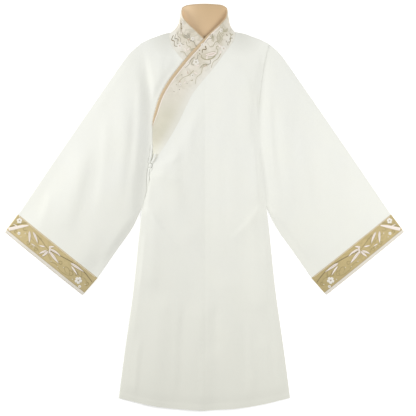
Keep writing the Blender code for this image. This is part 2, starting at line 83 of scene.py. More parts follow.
CollarRow = namedtuple("CollarRow", "seam_x seam_y free_x free_y seam_z over_z under_z sag hold lining")
COLLAR = in_mm(CollarRow, 8, [
    (0, 534.4, 0, 653.4, 1.2, 1.5, 1.5, 0, 0, 0.05),
    (40, 536.2, 32, 651.8, 1.2, 1.7, 1.7, 1.2, 0, 0.05),
    (80, 541.5, 60.8, 646.6, 1.2, 2.6, 2.6, 3.7, 0, 0.12),
    (93.2, 548.5, 70.8, 638.8, 1.2, 5.6, 5.6, 6.2, 0, 0.35),
    (98.5, 560, 71.2, 626.2, 1.7, 11.5, 11.5, 7.5, 0, 0.45),
    (98.3, 551.5, 67.5, 608.5, 0.2, 15, 14.5, 6.2, 1, 0.45),
    (95.5, 538.5, 52.8, 590.4, 0, 15, 13, 3.7, 1, 0.45),
    (81.6, 516.8, 30.4, 569.6, 0, 11.5, 8.5, 1.2, 1, 0.45),
    (56, 481.6, -4.8, 536, 0, 7.5, 3.8, 0, 1, 0.45),
    (27.2, 443.2, -41.9, 497.6, 0, 4, 0.6, 0, 1, 0.45),
    (-11.2, 398.4, -78.4, 454.4, 0, 2, 0, 0, 1, 0.45),
    (-40, 360, -115, 406, 0, 1.2, 0, 0, 1, 0.45),
    (-57.6, 324.8, -139.2, 364.2, 0, 1, 0, 0, 1, 0.45),
    (-96, 248, -158.4, 308.8, 0, 1, 0, 0, 1, 0.45),
    (-139.2, 179.2, -165.2, 280, 0, 1, 0, 0, 1, 0.45),
    (-164.8, 142.4, -166.2, 268, 0, 1, 0, 0, 1, 0.45),
])
# How far the under collar spreads outward from its seam, in millimetres, by the number of its row
SPREAD = {
    3: (-9.8, -0.5), 4: (-13.7, -3), 5: (-11.2, -18.5), 6: (-5.3, -26.5), 7: (-6.4, -21.5), 8: (-9.6, -11),
    9: (-4, -4),
}
SPREAD_REACH = 0.024
# The under collar curves in by this much more than the over collar
UNDER_SAG = 1.6
SPREAD_LEVEL = WALL + 0.25 * MM
NECK_ROW = 4
FIRST_FRONT_ROW = 5
UNDER_FREE_ROW = 8
LINING_ROWS = 8
UNDER_PIPING_ROWS = 10
COLLAR_EASE = 1.35

TIE_WIDTH = 7.0 * MM
TIE_WALL = 1.0 * MM
TIE_ROUND = TIE_WALL / 2 + 0.2 * MM
# A tie lies on the over front where its x is above this
TIE_ON_OVER_FRONT = -0.166
TIES = {
    "tie_outer": (0.9 * MM, [(-0.1687, 0.1985), (-0.1705, 0.1760), (-0.1772, 0.1412)]),
    "tie_inner": (1.6 * MM, [(-0.1575, 0.1720), (-0.1610, 0.1590), (-0.1698, 0.1412)]),
    "tie_end_long": (1.5 * MM, [(-0.1772, 0.1268), (-0.1800, 0.0960), (-0.1785, 0.0480)]),
    "tie_end_short": (1.5 * MM, [(-0.1698, 0.1268), (-0.1720, 0.1000), (-0.1700, 0.0660)]),
}
KNOT_AT = (-0.1735, 0.1340)
KNOT_SIZE = (11.5 * MM, 14.5 * MM, 3.6 * MM)

Ridge = namedtuple("Ridge", "x0 y0 x1 y1 reach height")
BODY_RIDGES = in_mm(Ridge, 6, [
    (150, 300, 170, 60, 34, 2.2),
    (-140, 100, -50, -80, 40, 2.8),
    (-165, -20, -180, -220, 34, 2.4),
    (160, -40, 185, -300, 36, 3),
    (95, 420, 50, 220, 45, 2.2),
    (-135, 450, -150, 330, 34, 2),
    (-165, -640, -130, -330, 42, 3.4),
    (-40, -650, -25, -360, 46, 2.8),
    (95, -650, 70, -260, 44, 3.6),
    (205, -630, 190, -450, 34, 2.6),
])
SLEEVE_RIDGES = in_mm(Ridge, 6, [
    (240, 330, 310, 60, 42, 1.4),
    (235, 10, 385, -170, 34, 1.2),
    (400, 170, 500, -60, 40, 1),
    (-250, 360, -300, 30, 40, 1.3),
    (-230, 0, -370, -160, 36, 1.4),
    (-430, 140, -480, -40, 44, 1.1),
])
BODY_CROWN = 1.6 * MM
SLEEVE_CROWN = 1.4 * MM
UNDER_SHARE = 0.5

# Creases that the solids are too coarse for. Each runs along a bend from its first point past its middle to
# its last, fades out at both ends, and reaches further to one side by its lean.
Crease = namedtuple("Crease", "x0 y0 xm ym x1 y1 reach height lean")
BODY_CREASES = in_mm(Crease, 8, [
    (4, 400, 12, 100, 6, -260, 30, -2.2, 0.1),
    (150, 480, 132, 330, 140, 180, 20, 1.5, 0.3),
    (168, 240, 160, 110, 172, -30, 13, 2.1, 0.4),
    (188, 20, 150, -50, 80, -110, 15, 1.7, -0.4),
    (-186, 10, -150, -70, -70, -150, 16, 1.8, 0.4),
    (-172, 120, -130, 80, -70, 90, 14, 1.5, 0.2),
    (-165, 135, -120, 135, -60, 180, 12, 1.2, -0.3),
    (-96, 240, -100, 100, -76, -60, 24, 1.8, 0.2),
    (100, 250, 88, 60, 105, -160, 28, 1.8, -0.2),
    (40, -300, 22, -390, 46, -480, 19, -2, 0.2),
    (200, -80, 190, -200, 204, -330, 13, 1.8, 0.3),
    (-192, -60, -196, -160, -212, -290, 14, 1.7, -0.3),
    (-80, -270, -100, -440, -94, -640, 19, 2.1, 0.3),
    (10, -440, -4, -540, 4, -660, 18, 1.8, -0.3),
    (138, -330, 156, -480, 148, -650, 18, 2.1, -0.3),
    (-205, -400, -222, -510, -226, -630, 14, 1.8, 0.3),
    (226, -420, 240, -510, 238, -630, 13, 1.6, 0.2),
    (-20, 330, -60, 230, -44, 130, 20, 1.2, 0.2),
])
CHEST_CREASES = in_mm(Crease, 8, [
    (-140, 530, -142, 440, -152, 340, 19, 1.6, 0.3),
    (-96, 500, -110, 470, -128, 430, 12, 0.9, 0.1),
    (-176, 300, -172, 230, -182, 130, 10, 1, 0.2),
])
SLEEVE_CREASES = in_mm(Crease, 8, [
    (206, 400, 204, 230, 228, 50, 17, 3.2, 0.3),
    (250, 350, 248, 180, 290, -10, 19, 2.8, -0.3),
    (300, 300, 310, 120, 360, -90, 24, 2.2, 0.3),
    (215, 0, 280, -70, 345, -180, 16, 2.4, -0.4),
    (360, 220, 410, 80, 440, -70, 26, 1.9, -0.2),
    (470, 80, 510, -10, 530, -90, 20, 1.5, 0.2),
    (-208, 430, -202, 260, -224, 70, 19, 2.5, -0.3),
    (-246, 330, -256, 170, -280, 10, 21, 2.3, 0.3),
    (-310, 330, -306, 140, -350, -60, 26, 2.1, -0.3),
    (-218, -10, -276, -90, -340, -190, 17, 2.3, 0.4),
    (-380, 200, -400, 60, -450, -90, 24, 2, 0.2),
    (-490, 70, -500, -20, -545, -80, 19, 1.4, -0.2),
])
# Slow waves of the whole cloth: height, number to a metre of x and of y, and where they start
Wave = namedtuple("Wave", "height x y start")
WAVES = in_mm(Wave, 1, [
    (0.34, 3.1, 1.3, 0.2),
    (0.3, -2.3, 2.9, 0.55),
    (0.24, 6.3, -1.1, 0.85),
    (0.18, 4.4, 5.2, 0.1),
    (0.14, -8.7, 3.3, 0.4),
    (0.1, 11.9, 1.9, 0.7),
])

# How the shown cloth stands over its solid
BODY_LOFT = 2.4 * MM
CHEST_LOFT = 1.4 * MM
SLEEVE_LOFT = 5.6 * MM
BODY_PUFF, BODY_PUFF_REACH = 3.4 * MM, 0.020
CHEST_PUFF, CHEST_PUFF_REACH = 1.6 * MM, 0.016
SLEEVE_PUFF, SLEEVE_PUFF_REACH = 7.4 * MM, 0.030
SLEEVE_PUFF_TOP, SLEEVE_PUFF_FADE = 0.515, 0.150
PUFF_FADE = 0.120
CENTRE_PUFF, CENTRE_PUFF_REACH = 0.9 * MM, 0.012
PUCKER = 0.22 * MM
HEM_DEPTH = 0.018
HEM_STEP = 0.5 * MM
SIDE_INSET = 2.5 * MM
SIDE_DROP = 0.9 * MM
SIDE_ROLL = 0.005
PIPING_WIDE, PIPING_HIGH = 9.2 * MM, 1.5 * MM
RIM_WIDE, RIM_HIGH = 3.6 * MM, 0.9 * MM
EDGING_SHOWN = 0.08
EDGING_PAST = 0.055
SEAM_BLEND = 0.022
ARMHOLE_LENGTH = 0.53
SHOULDER_Y = 0.530
INSET_FADE = 0.05
EDGE_FADE = 0.022
SLEEVE_WIDE, CUFF_WIDE = 0.5, 0.33
CUFF_DEPTH = np.hypot(CUFF_OUTER[0][0] - CUFF_INNER[0][0], CUFF_OUTER[0][1] - CUFF_INNER[0][1])
FOLD_REACH = 4 * MM
# Half of the least gap inside a tube, and the least round of its folds there, as a share of that outside
LEAST_HOLLOW = 0.15 * MM
LEAST_INNER_ROUND = 0.4
# How far a cut edge is rounded out, as a share of the wall
ROUNDING = 0.45
# How many places across and along the grids of the pieces have
BACK_GRID, SLEEVE_GRID = (40, 120), (96, 110)
CUFF_COLUMNS, COLLAR_COLUMNS, LINING_COLUMNS = 100, 26, 20
COVER_GAP = 0.2 * MM
# A panel's area is stated as at least this share of its box
# The curve share * (1 - share) ** 2 peaks at 4 / 27
SAG_SCALE = 27 / 4


def step(value):
    """A smooth step from 0 to 1 as value goes from 0 to 1."""
    t = np.clip(value, 0.0, 1.0)
    return t * t * (3 - 2 * t)


def unit(vectors):
    """The same vectors with a length of 1."""
    return vectors / np.maximum(np.linalg.norm(vectors, axis=-1, keepdims=True), 1e-12)


def runs(line):
    """The length of a line up to each of its points."""
    return np.concatenate([[0.0], np.cumsum(np.linalg.norm(np.diff(line, axis=0), axis=1))])


def sideways(path):
    """The direction to the left of a plan path at each of its points."""
    run = np.gradient(path, axis=0)
    return unit(np.stack([-run[:, 1], run[:, 0]], axis=1))


def smooth(rows, steps=10, places=2):
    """A dense smooth line through rows of numbers, spaced by the first columns, as many as places says."""
    rows = np.array(rows, float)
    run = np.linalg.norm(np.diff(rows[:, :places], axis=0), axis=1)[:, None]
    slope = np.diff(rows, axis=0) / run
    middle = (slope[:-1] * run[1:] + slope[1:] * run[:-1]) / (run[:-1] + run[1:])
    tangent = np.vstack([slope[:1], middle, slope[-1:]])
    t = (np.arange(steps) / steps)[None, :, None]
    start, end = rows[:-1, None], rows[1:, None]
    leave, arrive = (tangent[:-1] * run)[:, None], (tangent[1:] * run)[:, None]
    line = (
        start * (2 * t**3 - 3 * t**2 + 1)
        + leave * (t**3 - 2 * t**2 + t)
        + end * (3 * t**2 - 2 * t**3)
        + arrive * (t**3 - t**2)
    )
    return np.vstack([line.reshape(-1, rows.shape[1]), rows[-1:]])


def spaced(line, shares):
    """The points of a line at the given shares of its length."""
    line = np.array(line, float)
    length = runs(line)
    at = np.asarray(shares) * length[-1]
    return np.stack([np.interp(at, length, line[:, k]) for k in range(line.shape[1])], axis=1)


def blended(low, high, near, far, across, along):
    """Plan points of a four-sided piece, blended from its low and high edges and its near and far edges."""
    u = np.asarray(across)[None, :, None]
    v = np.asarray(along)[:, None, None]
    low, high = spaced(low, across)[None], spaced(high, across)[None]
    near, far = spaced(near, along)[:, None], spaced(far, along)[:, None]
    low_corners = (1 - u) * low[:, :1] + u * low[:, -1:]
    high_corners = (1 - u) * high[:, :1] + u * high[:, -1:]
    corners = (1 - v) * low_corners + v * high_corners
    return (1 - v) * low + v * high + (1 - u) * near + u * far - corners


def mirrored(line, side):
    return np.array(line, float) * (side, 1)


def moved(line, dx=0.0, dy=0.0):
    return np.array(line, float) + (dx, dy)


def from_line(x, y, line):
    """Each place's distance from a line, and the share along the line where it is nearest."""
    line = np.asarray(line, float)
    nearest, share = np.full(np.shape(x), 9.0), np.zeros(np.shape(x))
    for i, (start, run) in enumerate(zip(line[:-1], np.diff(line, axis=0))):
        t = np.clip(((x - start[0]) * run[0] + (y - start[1]) * run[1]) / (run @ run), 0, 1)
        away = np.hypot(x - start[0] - t * run[0], y - start[1] - t * run[1])
        share = np.where(away < nearest, (i + t) / (len(line) - 1), share)
        nearest = np.minimum(away, nearest)
    return nearest, share


def ridges(x, y, rows):
    height = np.zeros(np.shape(x))
    for row in rows:
        away, _ = from_line(x, y, [(row.x0, row.y0), (row.x1, row.y1)])
        height += row.height * np.exp(-((away / row.reach) ** 2))
    return height


def creases(x, y, rows):
    """The summed height of bent creases, which fade out at both ends."""
    height = np.zeros(np.shape(x))
    t = np.linspace(0, 1, 8)[:, None]
    for row in rows:
        first, middle, last = np.array([(row.x0, row.y0), (row.xm, row.ym), (row.x1, row.y1)])
        line = (1 - t) ** 2 * first + 2 * t * (1 - t) * middle + t**2 * last
        away, share = from_line(x, y, line)
        run = last - first
        side = np.tanh(((x - middle[0]) * run[1] - (y - middle[1]) * run[0]) / np.hypot(*run) / row.reach)
        fade = step(share / 0.3) * step((1 - share) / 0.3)
        height += row.height * fade * np.exp(-((away / (row.reach * (1 + row.lean * side))) ** 2))
    return height


def waves(x, y):
    turns = 2 * np.pi
    return sum(row.height * np.sin(turns * (row.x * x + row.y * y + row.start)) for row in WAVES)


BODY_EDGE = np.vstack([smooth(SIDE), smooth(ARMHOLE)[1:]])
ARMHOLE_LINE = smooth(ARMHOLE, 4)
FRONT_SEAM = smooth([(row.seam_x, row.seam_y) for row in COLLAR[FIRST_FRONT_ROW:]])
BACK_NECK = smooth([(row.seam_x, row.seam_y) for row in COLLAR[: NECK_ROW + 1]])
SEAM_AT_CENTRE = int(np.argmin(np.abs(FRONT_SEAM[:, 0])))
# Where the over front and its collar end on the wearer's right
OVER_EDGE = np.vstack(
    [
        smooth([(row.free_x, row.free_y) for row in COLLAR[UNDER_FREE_ROW:]]),
        mirrored(smooth(LAP_EDGE)[::-1], RIGHT),
    ]
)


def half_width(y):
    return np.interp(y, BODY_EDGE[:, 1], BODY_EDGE[:, 0])


def within(x, y, reach=0.060):
    """0 at the body's side seams, armholes and shoulders, and 1 inside."""
    return step((half_width(y) - np.abs(x)) / reach) * step((SHOULDER_Y - y) / 0.090)


def body_lift(x, y):
    crown = BODY_CROWN * step((y + 0.700) / 0.200)
    return within(x, y) * (crown + ridges(x, y, BODY_RIDGES))


def covered(x, y):
    """1 where the over front lies on the under front, and 0 where the under front has ended."""
    free = smooth([(-row.free_x, row.free_y) for row in COLLAR[UNDER_FREE_ROW:]])
    along = np.interp(x, free[:, 0], free[:, 1], left=free[0, 1], right=free[-1, 1])
    below_free_edge = 1 - step((y - along - 0.010) / 0.070)
    on_body = 1 - step((x - half_width(y)) / 0.060)
    return np.where(x < free[0, 0], 1.0, below_free_edge) * on_body


def under_height(x, y):
    return UNDER_LEVEL + UNDER_SHARE * body_lift(x, y)


def over_height(x, y):
    return UNDER_LEVEL + (OVER_LEVEL - UNDER_LEVEL) * covered(x, y) + body_lift(x, y)


def seam_puff(away, along, high, reach, turns=55.0):
    """Cloth beside a seam: down at the stitches, up past them, with small puckers across."""
    share = away / reach
    rise = high * (1 - np.exp(-1.6 * share**2)) * np.exp(-0.3 * share)
    pucker = PUCKER * np.sin(2 * np.pi * turns * along + 2.0 * np.sin(9.0 * along)) * np.exp(-away / 0.010)
    return rise + pucker * step(away / 0.004)


def armhole_puff(x, y, high, reach, top, fade):
    """The puff beside the armhole's seam, which fades out toward the shoulder."""
    away, along = from_line(np.abs(x), y, ARMHOLE_LINE)
    return seam_puff(away, along * ARMHOLE_LENGTH, high, reach) * step((top - y) / fade)


def hem_fold(away):
    """The turned-up hem, which is a little thicker than the cloth above it."""
    return HEM_STEP * step((HEM_DEPTH - away) / 0.003)


def clear_of_collar(x, y):
    """0 under and beside the collar of the over front, and 1 away from it."""
    away, _ = from_line(x, y, FRONT_SEAM[::4])
    return step((away - 0.001) / 0.055)


def over_form(x, y):
    """What the over front's creases and seams add on its solid."""
    inner = within(x, y, EDGE_FADE)
    centre = np.abs(x)
    sewn = seam_puff(centre, y, CENTRE_PUFF, CENTRE_PUFF_REACH, 48.0) * np.exp(-centre / 0.04)
    beside = armhole_puff(x, y, BODY_PUFF, BODY_PUFF_REACH, SHOULDER_Y, PUFF_FADE)
    hem, _ = from_line(np.abs(x), y, smooth(HEM, 4))
    folded = BODY_LOFT * (0.15 + 0.85 * step(hem / 0.05)) + creases(x, y, BODY_CREASES) + waves(x, y)
    return clear_of_collar(x, y) * (inner * (folded + sewn) + beside) + hem_fold(hem)


def over_shown(x, y):
    return np.maximum(over_height(x, y) + over_form(x, y), under_height(x, y) + WALL + 0.1 * MM)


def under_form(x, y):
    """What creases add on the under front, where it shows past the over front and its collar."""
    edge = OVER_EDGE[np.argsort(OVER_EDGE[:, 1])]
    showing = step((np.interp(y, edge[:, 1], edge[:, 0]) - x - 0.006) / 0.030)
    beside = armhole_puff(x, y, CHEST_PUFF, CHEST_PUFF_REACH, SHOULDER_Y, PUFF_FADE)
    folded = CHEST_LOFT + creases(x, y, CHEST_CREASES) + waves(x, y)
    neck, _ = from_line(-x, y, FRONT_SEAM[:60:4])
    return showing * step((neck - SPREAD_REACH) / 0.030) * (within(x, y, EDGE_FADE) * folded + beside)


def under_shown(x, y):
    return under_height(x, y) + under_form(x, y)


# Meshes


def placed(name, data):
    """A new object in the scene."""
    obj = bpy.data.objects.new(name, data)
    bpy.context.scene.collection.objects.link(obj)
    return obj


def cloth_object(name, points, faces, material, node):
    """A shown piece that stands for a node and rides with it."""
    mesh = bpy.data.meshes.new(name)
    mesh.from_pydata(points.tolist(), [], faces)
    mesh.validate()
    mesh.materials.append(material)
    mesh.shade_smooth()
    obj = placed(name, mesh)
    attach(obj, "root")
    if node:
        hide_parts(node)
    return obj


def grid_faces(number, around=False):
    """Quads between the neighbours of a grid of vertex numbers, whose rows may close round."""
    if around:
        number = np.concatenate([number, number[:, :1]], axis=1)
    quads = np.stack([number[:-1, :-1], number[:-1, 1:], number[1:, 1:], number[1:, :-1]], axis=-1)
    return quads.reshape(-1, 4)


def rib_faces(rows, count, first=0):
    """The faces of a closed rib, from rows of points round it, with its two ends."""
    number = first + np.arange(rows * count).reshape(rows, count)
    return grid_faces(number, True).tolist() + [number[0][::-1].tolist(), number[-1].tolist()]


def border(number):
    """The vertex numbers round a grid, in order."""
    return np.concatenate([number[0, :-1], number[:-1, -1], number[-1, :0:-1], number[:0:-1, 0]])


def shell(name, outside, inside, material, node, around=False):
    """A closed thin shell of cloth between two grids of points, with a rounded edge."""
    rows, columns = outside.shape[:2]
    count = rows * columns
    outer = np.arange(count).reshape(rows, columns)
    inner = outer + count
    points = np.vstack([outside.reshape(-1, 3), inside.reshape(-1, 3)])
    faces = [grid_faces(outer, around), grid_faces(inner, around)[:, ::-1]]
    if around:
        loops = [(outer[0], inner[0]), (outer[-1][::-1], inner[-1][::-1])]
    else:
        loops = [(border(outer), border(inner))]
    for top, low in loops:
        middle = (points[top] + points[low]) / 2
        thick = np.linalg.norm(points[top] - points[low], axis=1, keepdims=True)
        behind = points[np.roll(top, 1)] - points[np.roll(top, -1)]
        out = unit(np.cross(points[top] - points[low], behind))
        first = len(points)
        points = np.vstack([points, middle - ROUNDING * thick * out])
        rim = np.arange(first, first + len(top))
        faces.append(grid_faces(np.stack([top, rim, low]), True))
    obj = cloth_object(name, points, np.vstack(faces).tolist(), material, node)
    sharpen(obj.data, np.concatenate([np.concatenate(pair) for pair in loops]))
    return obj


def sharpen(mesh, corner):
    """Keeps the shading of the faces apart from that of the edge which they meet at these vertices."""
    at_corner = np.zeros(len(mesh.vertices), bool)
    at_corner[corner] = True
    ends = np.empty(2 * len(mesh.edges), int)
    mesh.edges.foreach_get("vertices", ends)
    mesh.edges.foreach_set("use_edge_sharp", at_corner[ends.reshape(-1, 2)].all(axis=1))


def raised(plan, height):
    """Points of a plan grid at a height, which is a number or one for each point."""
    return np.concatenate([plan, np.broadcast_to(height, plan.shape[:2])[..., None]], axis=2)


def declare(obj, plan, layers=1):
    """Works out the run along the first row of a cloth piece's plan where it lies double; nothing more is
    done with it or with the piece.
    """
    run = plan[0, -1] - plan[0, 0]
    run = run / np.linalg.norm(run) if layers > 1 else np.array([1.0, 0.0])


def centre_line(top_y, side):
    return [(side * SEWN_GAP / 2, HEM[0][1]), (side * SEWN_GAP / 2, top_y)]


def body_outer(side, inset):
    short = SEWN_GAP / 2 + inset * step((SIDE[-1][1] - BODY_EDGE[:, 1:]) / INSET_FADE)
    return mirrored(BODY_EDGE, side) - np.hstack([side * short, 0 * short])


def hem_line(side, inset):
    line = spaced(mirrored(smooth(HEM), side), np.linspace(0, 1, 30))
    shrink = (np.abs(line[:, :1]) * (1.0, 0.0)) * (-side * inset / HEM[-1][0])
    return moved(line, side * SEWN_GAP / 2, inset) + shrink


def shares(count, edge=0.0015):
    """Even shares, with one more close to each end, so that the rounding stays at the edge."""
    even = np.linspace(0, 1, count + 1)
    return np.concatenate([[0.0, edge], even[1:-1], [1.0 - edge, 1.0]])


def panel(node, plan, low, material):
    low = np.broadcast_to(low, plan.shape[:2])
    return shell(f"{node}_cloth", raised(plan, low + WALL), raised(plan, low), material, node)


def shoulder_line(side):
    return mirrored(smooth(OVER_SHOULDER if side == LEFT else SHOULDER)[::-1], side)


def rolled_edge(x, y, drop):
    """How far the cloth turns down beside the side seam."""
    away, _ = from_line(np.abs(x), y, smooth(SIDE, 3))
    return drop * (1 - np.clip(away / SIDE_ROLL, 0, 1)) ** 2


def back(side, label, material):
    neck = moved(mirrored(BACK_NECK[:-2], side), dy=-COLLAR_GAP)
    top = np.vstack([neck, shoulder_line(side)])
    centre, outer = centre_line(BACK_NECK[0, 1], side), body_outer(side, SIDE_INSET)
    plan = blended(hem_line(side, SIDE_INSET), top, centre, outer, *map(shares, BACK_GRID))
    declare(panel(f"back_{label}", plan, 0.0, material), plan)


def front_panel(node, side, top, outer, height, inset, grid, material):
    """A front piece from the centre line to its outer edge, which lies on the back piece behind it."""
    plan = blended(hem_line(side, inset), top, centre_line(top[0, 1], side), outer, *map(shares, grid))
    x, y = plan[..., 0], plan[..., 1]
    low = height(x, y) - rolled_edge(x, y, 0.0 if inset else SIDE_DROP)
    declare(panel(node, plan, low, material), plan)


def front_half(side, label, height, inset, grid, material):
    seam = mirrored(FRONT_SEAM[: SEAM_AT_CENTRE + 1][::-1], side)
    top = np.vstack([seam, shoulder_line(side)])
    front_panel(f"front_{label}", side, top, body_outer(side, inset), height, inset, grid, material)


def lap(side, label, height, inset, grid, material):
    seam = mirrored(FRONT_SEAM[SEAM_AT_CENTRE:], side)
    outer = np.vstack([mirrored(smooth(SIDE), -side), mirrored(smooth(LAP_EDGE)[1:], -side)])
    outer += side * inset * step((SIDE[-1][1] - outer[:, 1:]) / INSET_FADE) * (1.0, 0.0)
    front_panel(f"lap_{label}", -side, seam, outer, height, inset, grid, material)


def fold_shares(count, width):
    """Shares across a flattened tube, close together at both folds."""
    fold = FOLD_REACH / width
    edge = fold * (1 - np.cos(np.linspace(0, np.pi / 2, 6)[:-1]))
    return np.concatenate([edge, np.linspace(fold, 1 - fold, count), 1 - edge[::-1]])


def bulge(across, width, reach=FOLD_REACH):
    """The round of a tube's folds: 0 at either edge, and 1 from its reach on."""
    edge = np.minimum(across, 1 - across) * width
    return np.sqrt(1 - (1 - np.clip(edge / reach, 0, 1)) ** 2)


def tube_skin(plan, middle, half):
    """The front and the rear of a flattened tube, as rows of points round it."""
    front, rear = raised(plan, middle + half), raised(plan, middle - half)
    return np.concatenate([front, rear[:, -2:0:-1]], axis=1)


def flat_tube(name, node, plan, top, across, width, wall, material):
    """A flattened tube of cloth on the floor: its front is at top, and both its edges are round folds."""
    middle = top / 2
    fade = np.exp(-np.minimum(across, 1 - across) * width / (3 * FOLD_REACH))
    pull = np.interp(across, [0, 0.5, 1], [wall / width, 0, -wall / width]) * fade
    inner_plan = plan + pull[None, :, None] * (plan[:, -1:] - plan[:, :1])
    inner_half = np.maximum(middle - wall, LEAST_HOLLOW)
    inner_reach = max(FOLD_REACH - wall, LEAST_INNER_ROUND * FOLD_REACH)
    outside = tube_skin(plan, middle, middle * bulge(across, width))
    inside = tube_skin(inner_plan, middle, inner_half * bulge(across, width, inner_reach))
    return shell(name, outside, inside, material, node, around=True)


def tube_edges(across, reach):
    """0 at both folds of a tube, and 1 where they are this share of its width away."""
    return step(across / reach) * step((1 - across) / reach)


def tube_level(x, y, across, crown_share=1.0):
    """How far the front of a sleeve's or a cuff's solid stands over its flat level."""
    crown = SLEEVE_CROWN * tube_edges(across, 0.25) * crown_share
    return crown + tube_edges(across, 0.12) * ridges(x, y, SLEEVE_RIDGES)


def sleeve_top(x, y, along, across, height):
    """Height of a sleeve's front face."""
    solid = tube_level(x, y, across, step(along / 0.3))
    beside = armhole_puff(x, y, SLEEVE_PUFF, SLEEVE_PUFF_REACH, SLEEVE_PUFF_TOP, SLEEVE_PUFF_FADE)
    crown = SLEEVE_LOFT * tube_edges(across, 0.34) * step(along / 0.25)
    folds = tube_edges(across, 0.10) * (creases(x, y, SLEEVE_CREASES) + waves(x, y)) * step(along / 0.06)
    return height(x, y) + WALL + solid + crown + folds + tube_edges(across, 0.05) * beside


def sleeve(side, label, height, material):
    across, along = fold_shares(SLEEVE_GRID[0], SLEEVE_WIDE), shares(SLEEVE_GRID[1])
    armhole = moved(mirrored(smooth(ARMHOLE)[::-1], side), side * SEWN_GAP / 2)
    top, under = mirrored(smooth(SLEEVE_TOP), side), mirrored(smooth(SLEEVE_UNDER), side)
    top[0], under[0] = armhole[0], armhole[-1]
    plan = blended(armhole, mirrored(CUFF_INNER, side), top, under, across, along)
    x, y = plan[..., 0], plan[..., 1]
    along = along[:, None]
    at_cuff = step((along - 0.90) / 0.10)
    pinch = 0.5 * MM * np.exp(-(((1 - along) / 0.010) ** 2)) * tube_edges(across, 0.08)
    loose = sleeve_top(x, y, along, across, height)
    top_z = loose * (1 - at_cuff) + cuff_top(x, y, across) * at_cuff - pinch
    node = f"sleeve_{label}"
    obj = flat_tube(f"{node}_cloth", node, plan, top_z, across, SLEEVE_WIDE, WALL, material)
    declare(obj, plan, layers=2)


def cuff_top(x, y, across):
    """Height of a cuff's front face: flatter than the sleeve, because the band is stiff."""
    flat = UNDER_LEVEL + 2 * CUFF_WALL - WALL
    crown = 0.8 * SLEEVE_LOFT * tube_edges(across, 0.30)
    return flat + tube_level(x, y, across) + crown + 0.5 * tube_edges(across, 0.12) * waves(x, y)


def cuff_plan(side, start, end, rows, across):
    inner, outer = (spaced(mirrored(line, side), across) for line in (CUFF_INNER, CUFF_OUTER))
    share = start + (end - start) * shares(rows, 0.008 if rows > 3 else 0.1)[:, None, None]
    return inner[None] * (1 - share) + outer[None] * share


def cuff(side, name, node, start, end, rows, material):
    across = fold_shares(CUFF_COLUMNS, CUFF_WIDE)
    plan = cuff_plan(side, start, end, rows, across)
    top = cuff_top(plan[..., 0], plan[..., 1], across)
    obj = flat_tube(name, node, plan, top, across, CUFF_WIDE, CUFF_WALL, material)
    declare(obj, plan, layers=2)


def collar_lines(steps):
    """The whole collar strip, from the over front's end round the neck to the under front's end."""
    over, under = [], []
    for number, r in enumerate(COLLAR):
        shared = (r.hold, r.lining)
        dx, dy = (MM * value for value in SPREAD.get(number, (0, 0)))
        level = SPREAD_LEVEL if number in SPREAD else r.seam_z
        over.append((r.seam_x, r.seam_y, r.seam_z, r.free_x, r.free_y, r.over_z, -r.sag, *shared, 1.0))
        seam, free = (dx - r.seam_x, dy + r.seam_y, level), (-r.free_x, r.free_y, r.under_z)
        under.append((*seam, *free, UNDER_SAG * r.sag, *shared, 0.0))
    lines = smooth(over[::-1] + under[1:], steps, places=6)
    lines[:, 7:] = np.clip(lines[:, 7:], 0.0, 1.0)
    return lines


def collar_surface(lines, share):
    """Points of the strip's inner face at shares of its width, one row of shares to each line."""
    seam, free = lines[:, None, 0:3], lines[:, None, 3:6]
    sag = lines[:, None, 6] * SAG_SCALE * share * (1 - share) ** 2
    x = seam[..., 0] + (free[..., 0] - seam[..., 0]) * share + sag
    y = seam[..., 1] + (free[..., 1] - seam[..., 1]) * share
    z = seam[..., 2] + (free[..., 2] - seam[..., 2]) * np.clip(share, 0, 2) ** COLLAR_EASE
    over = lines[:, None, 9]
    rest = over * over_height(x, y) + (1 - over) * under_height(x, y)
    return np.stack([x, y, z + lines[:, None, 7] * rest], axis=2)


def outward(surface):
    along, across = np.gradient(surface, axis=0), np.gradient(surface, axis=1)
    return unit(np.cross(along, across))


COLLAR_STEPS = 14
LINES = collar_lines(COLLAR_STEPS)
STRIP_WIDTH = np.linalg.norm(LINES[:, 3:6] - LINES[:, 0:3], axis=1)[:, None]
MIDDLE_ROW = (len(COLLAR) - 1) * COLLAR_STEPS
# The piping widens from the neck to the over front over this stretch of the collar's rows
WIDENS_FROM, WIDENS_OVER = 7.3, 1.3
FROM_MIDDLE = (MIDDLE_ROW - np.arange(len(LINES))) / COLLAR_STEPS
OVER_SHARE = step((FROM_MIDDLE - WIDENS_FROM) / WIDENS_OVER)[:, None]
PIPING_SHOWN = RIM_WIDE + (PIPING_WIDE - RIM_WIDE) * OVER_SHARE
PIPING_RISE = RIM_HIGH + (PIPING_HIGH - RIM_HIGH) * OVER_SHARE


def strip_shares(start, end, count):
    return start + (end - start) * (shares(count, 0.006) if count > 2 else np.linspace(0, 1, 3))[None, :]


def collar(material, with_pieces):
    free = 1 - (PIPING_SHOWN + COVER_GAP) / STRIP_WIDTH
    share = strip_shares(COLLAR_GAP / STRIP_WIDTH, free, COLLAR_COLUMNS)
    surface = collar_surface(LINES, share)
    outside = surface + WALL * outward(surface)
    outside[..., 2] = np.maximum(outside[..., 2], 0.0)
    obj = shell("collar_brocade", outside, surface, material, "collar")
    from_seam = (share * STRIP_WIDTH).ravel()
    rim = from_seam[border(np.arange(from_seam.size).reshape(share.shape))]
    near = np.exp(-((np.concatenate([from_seam, from_seam, rim]) / SEAM_BLEND) ** 2))
    obj.data.attributes.new("near_seam", "FLOAT", "POINT").data.foreach_set("value", near)


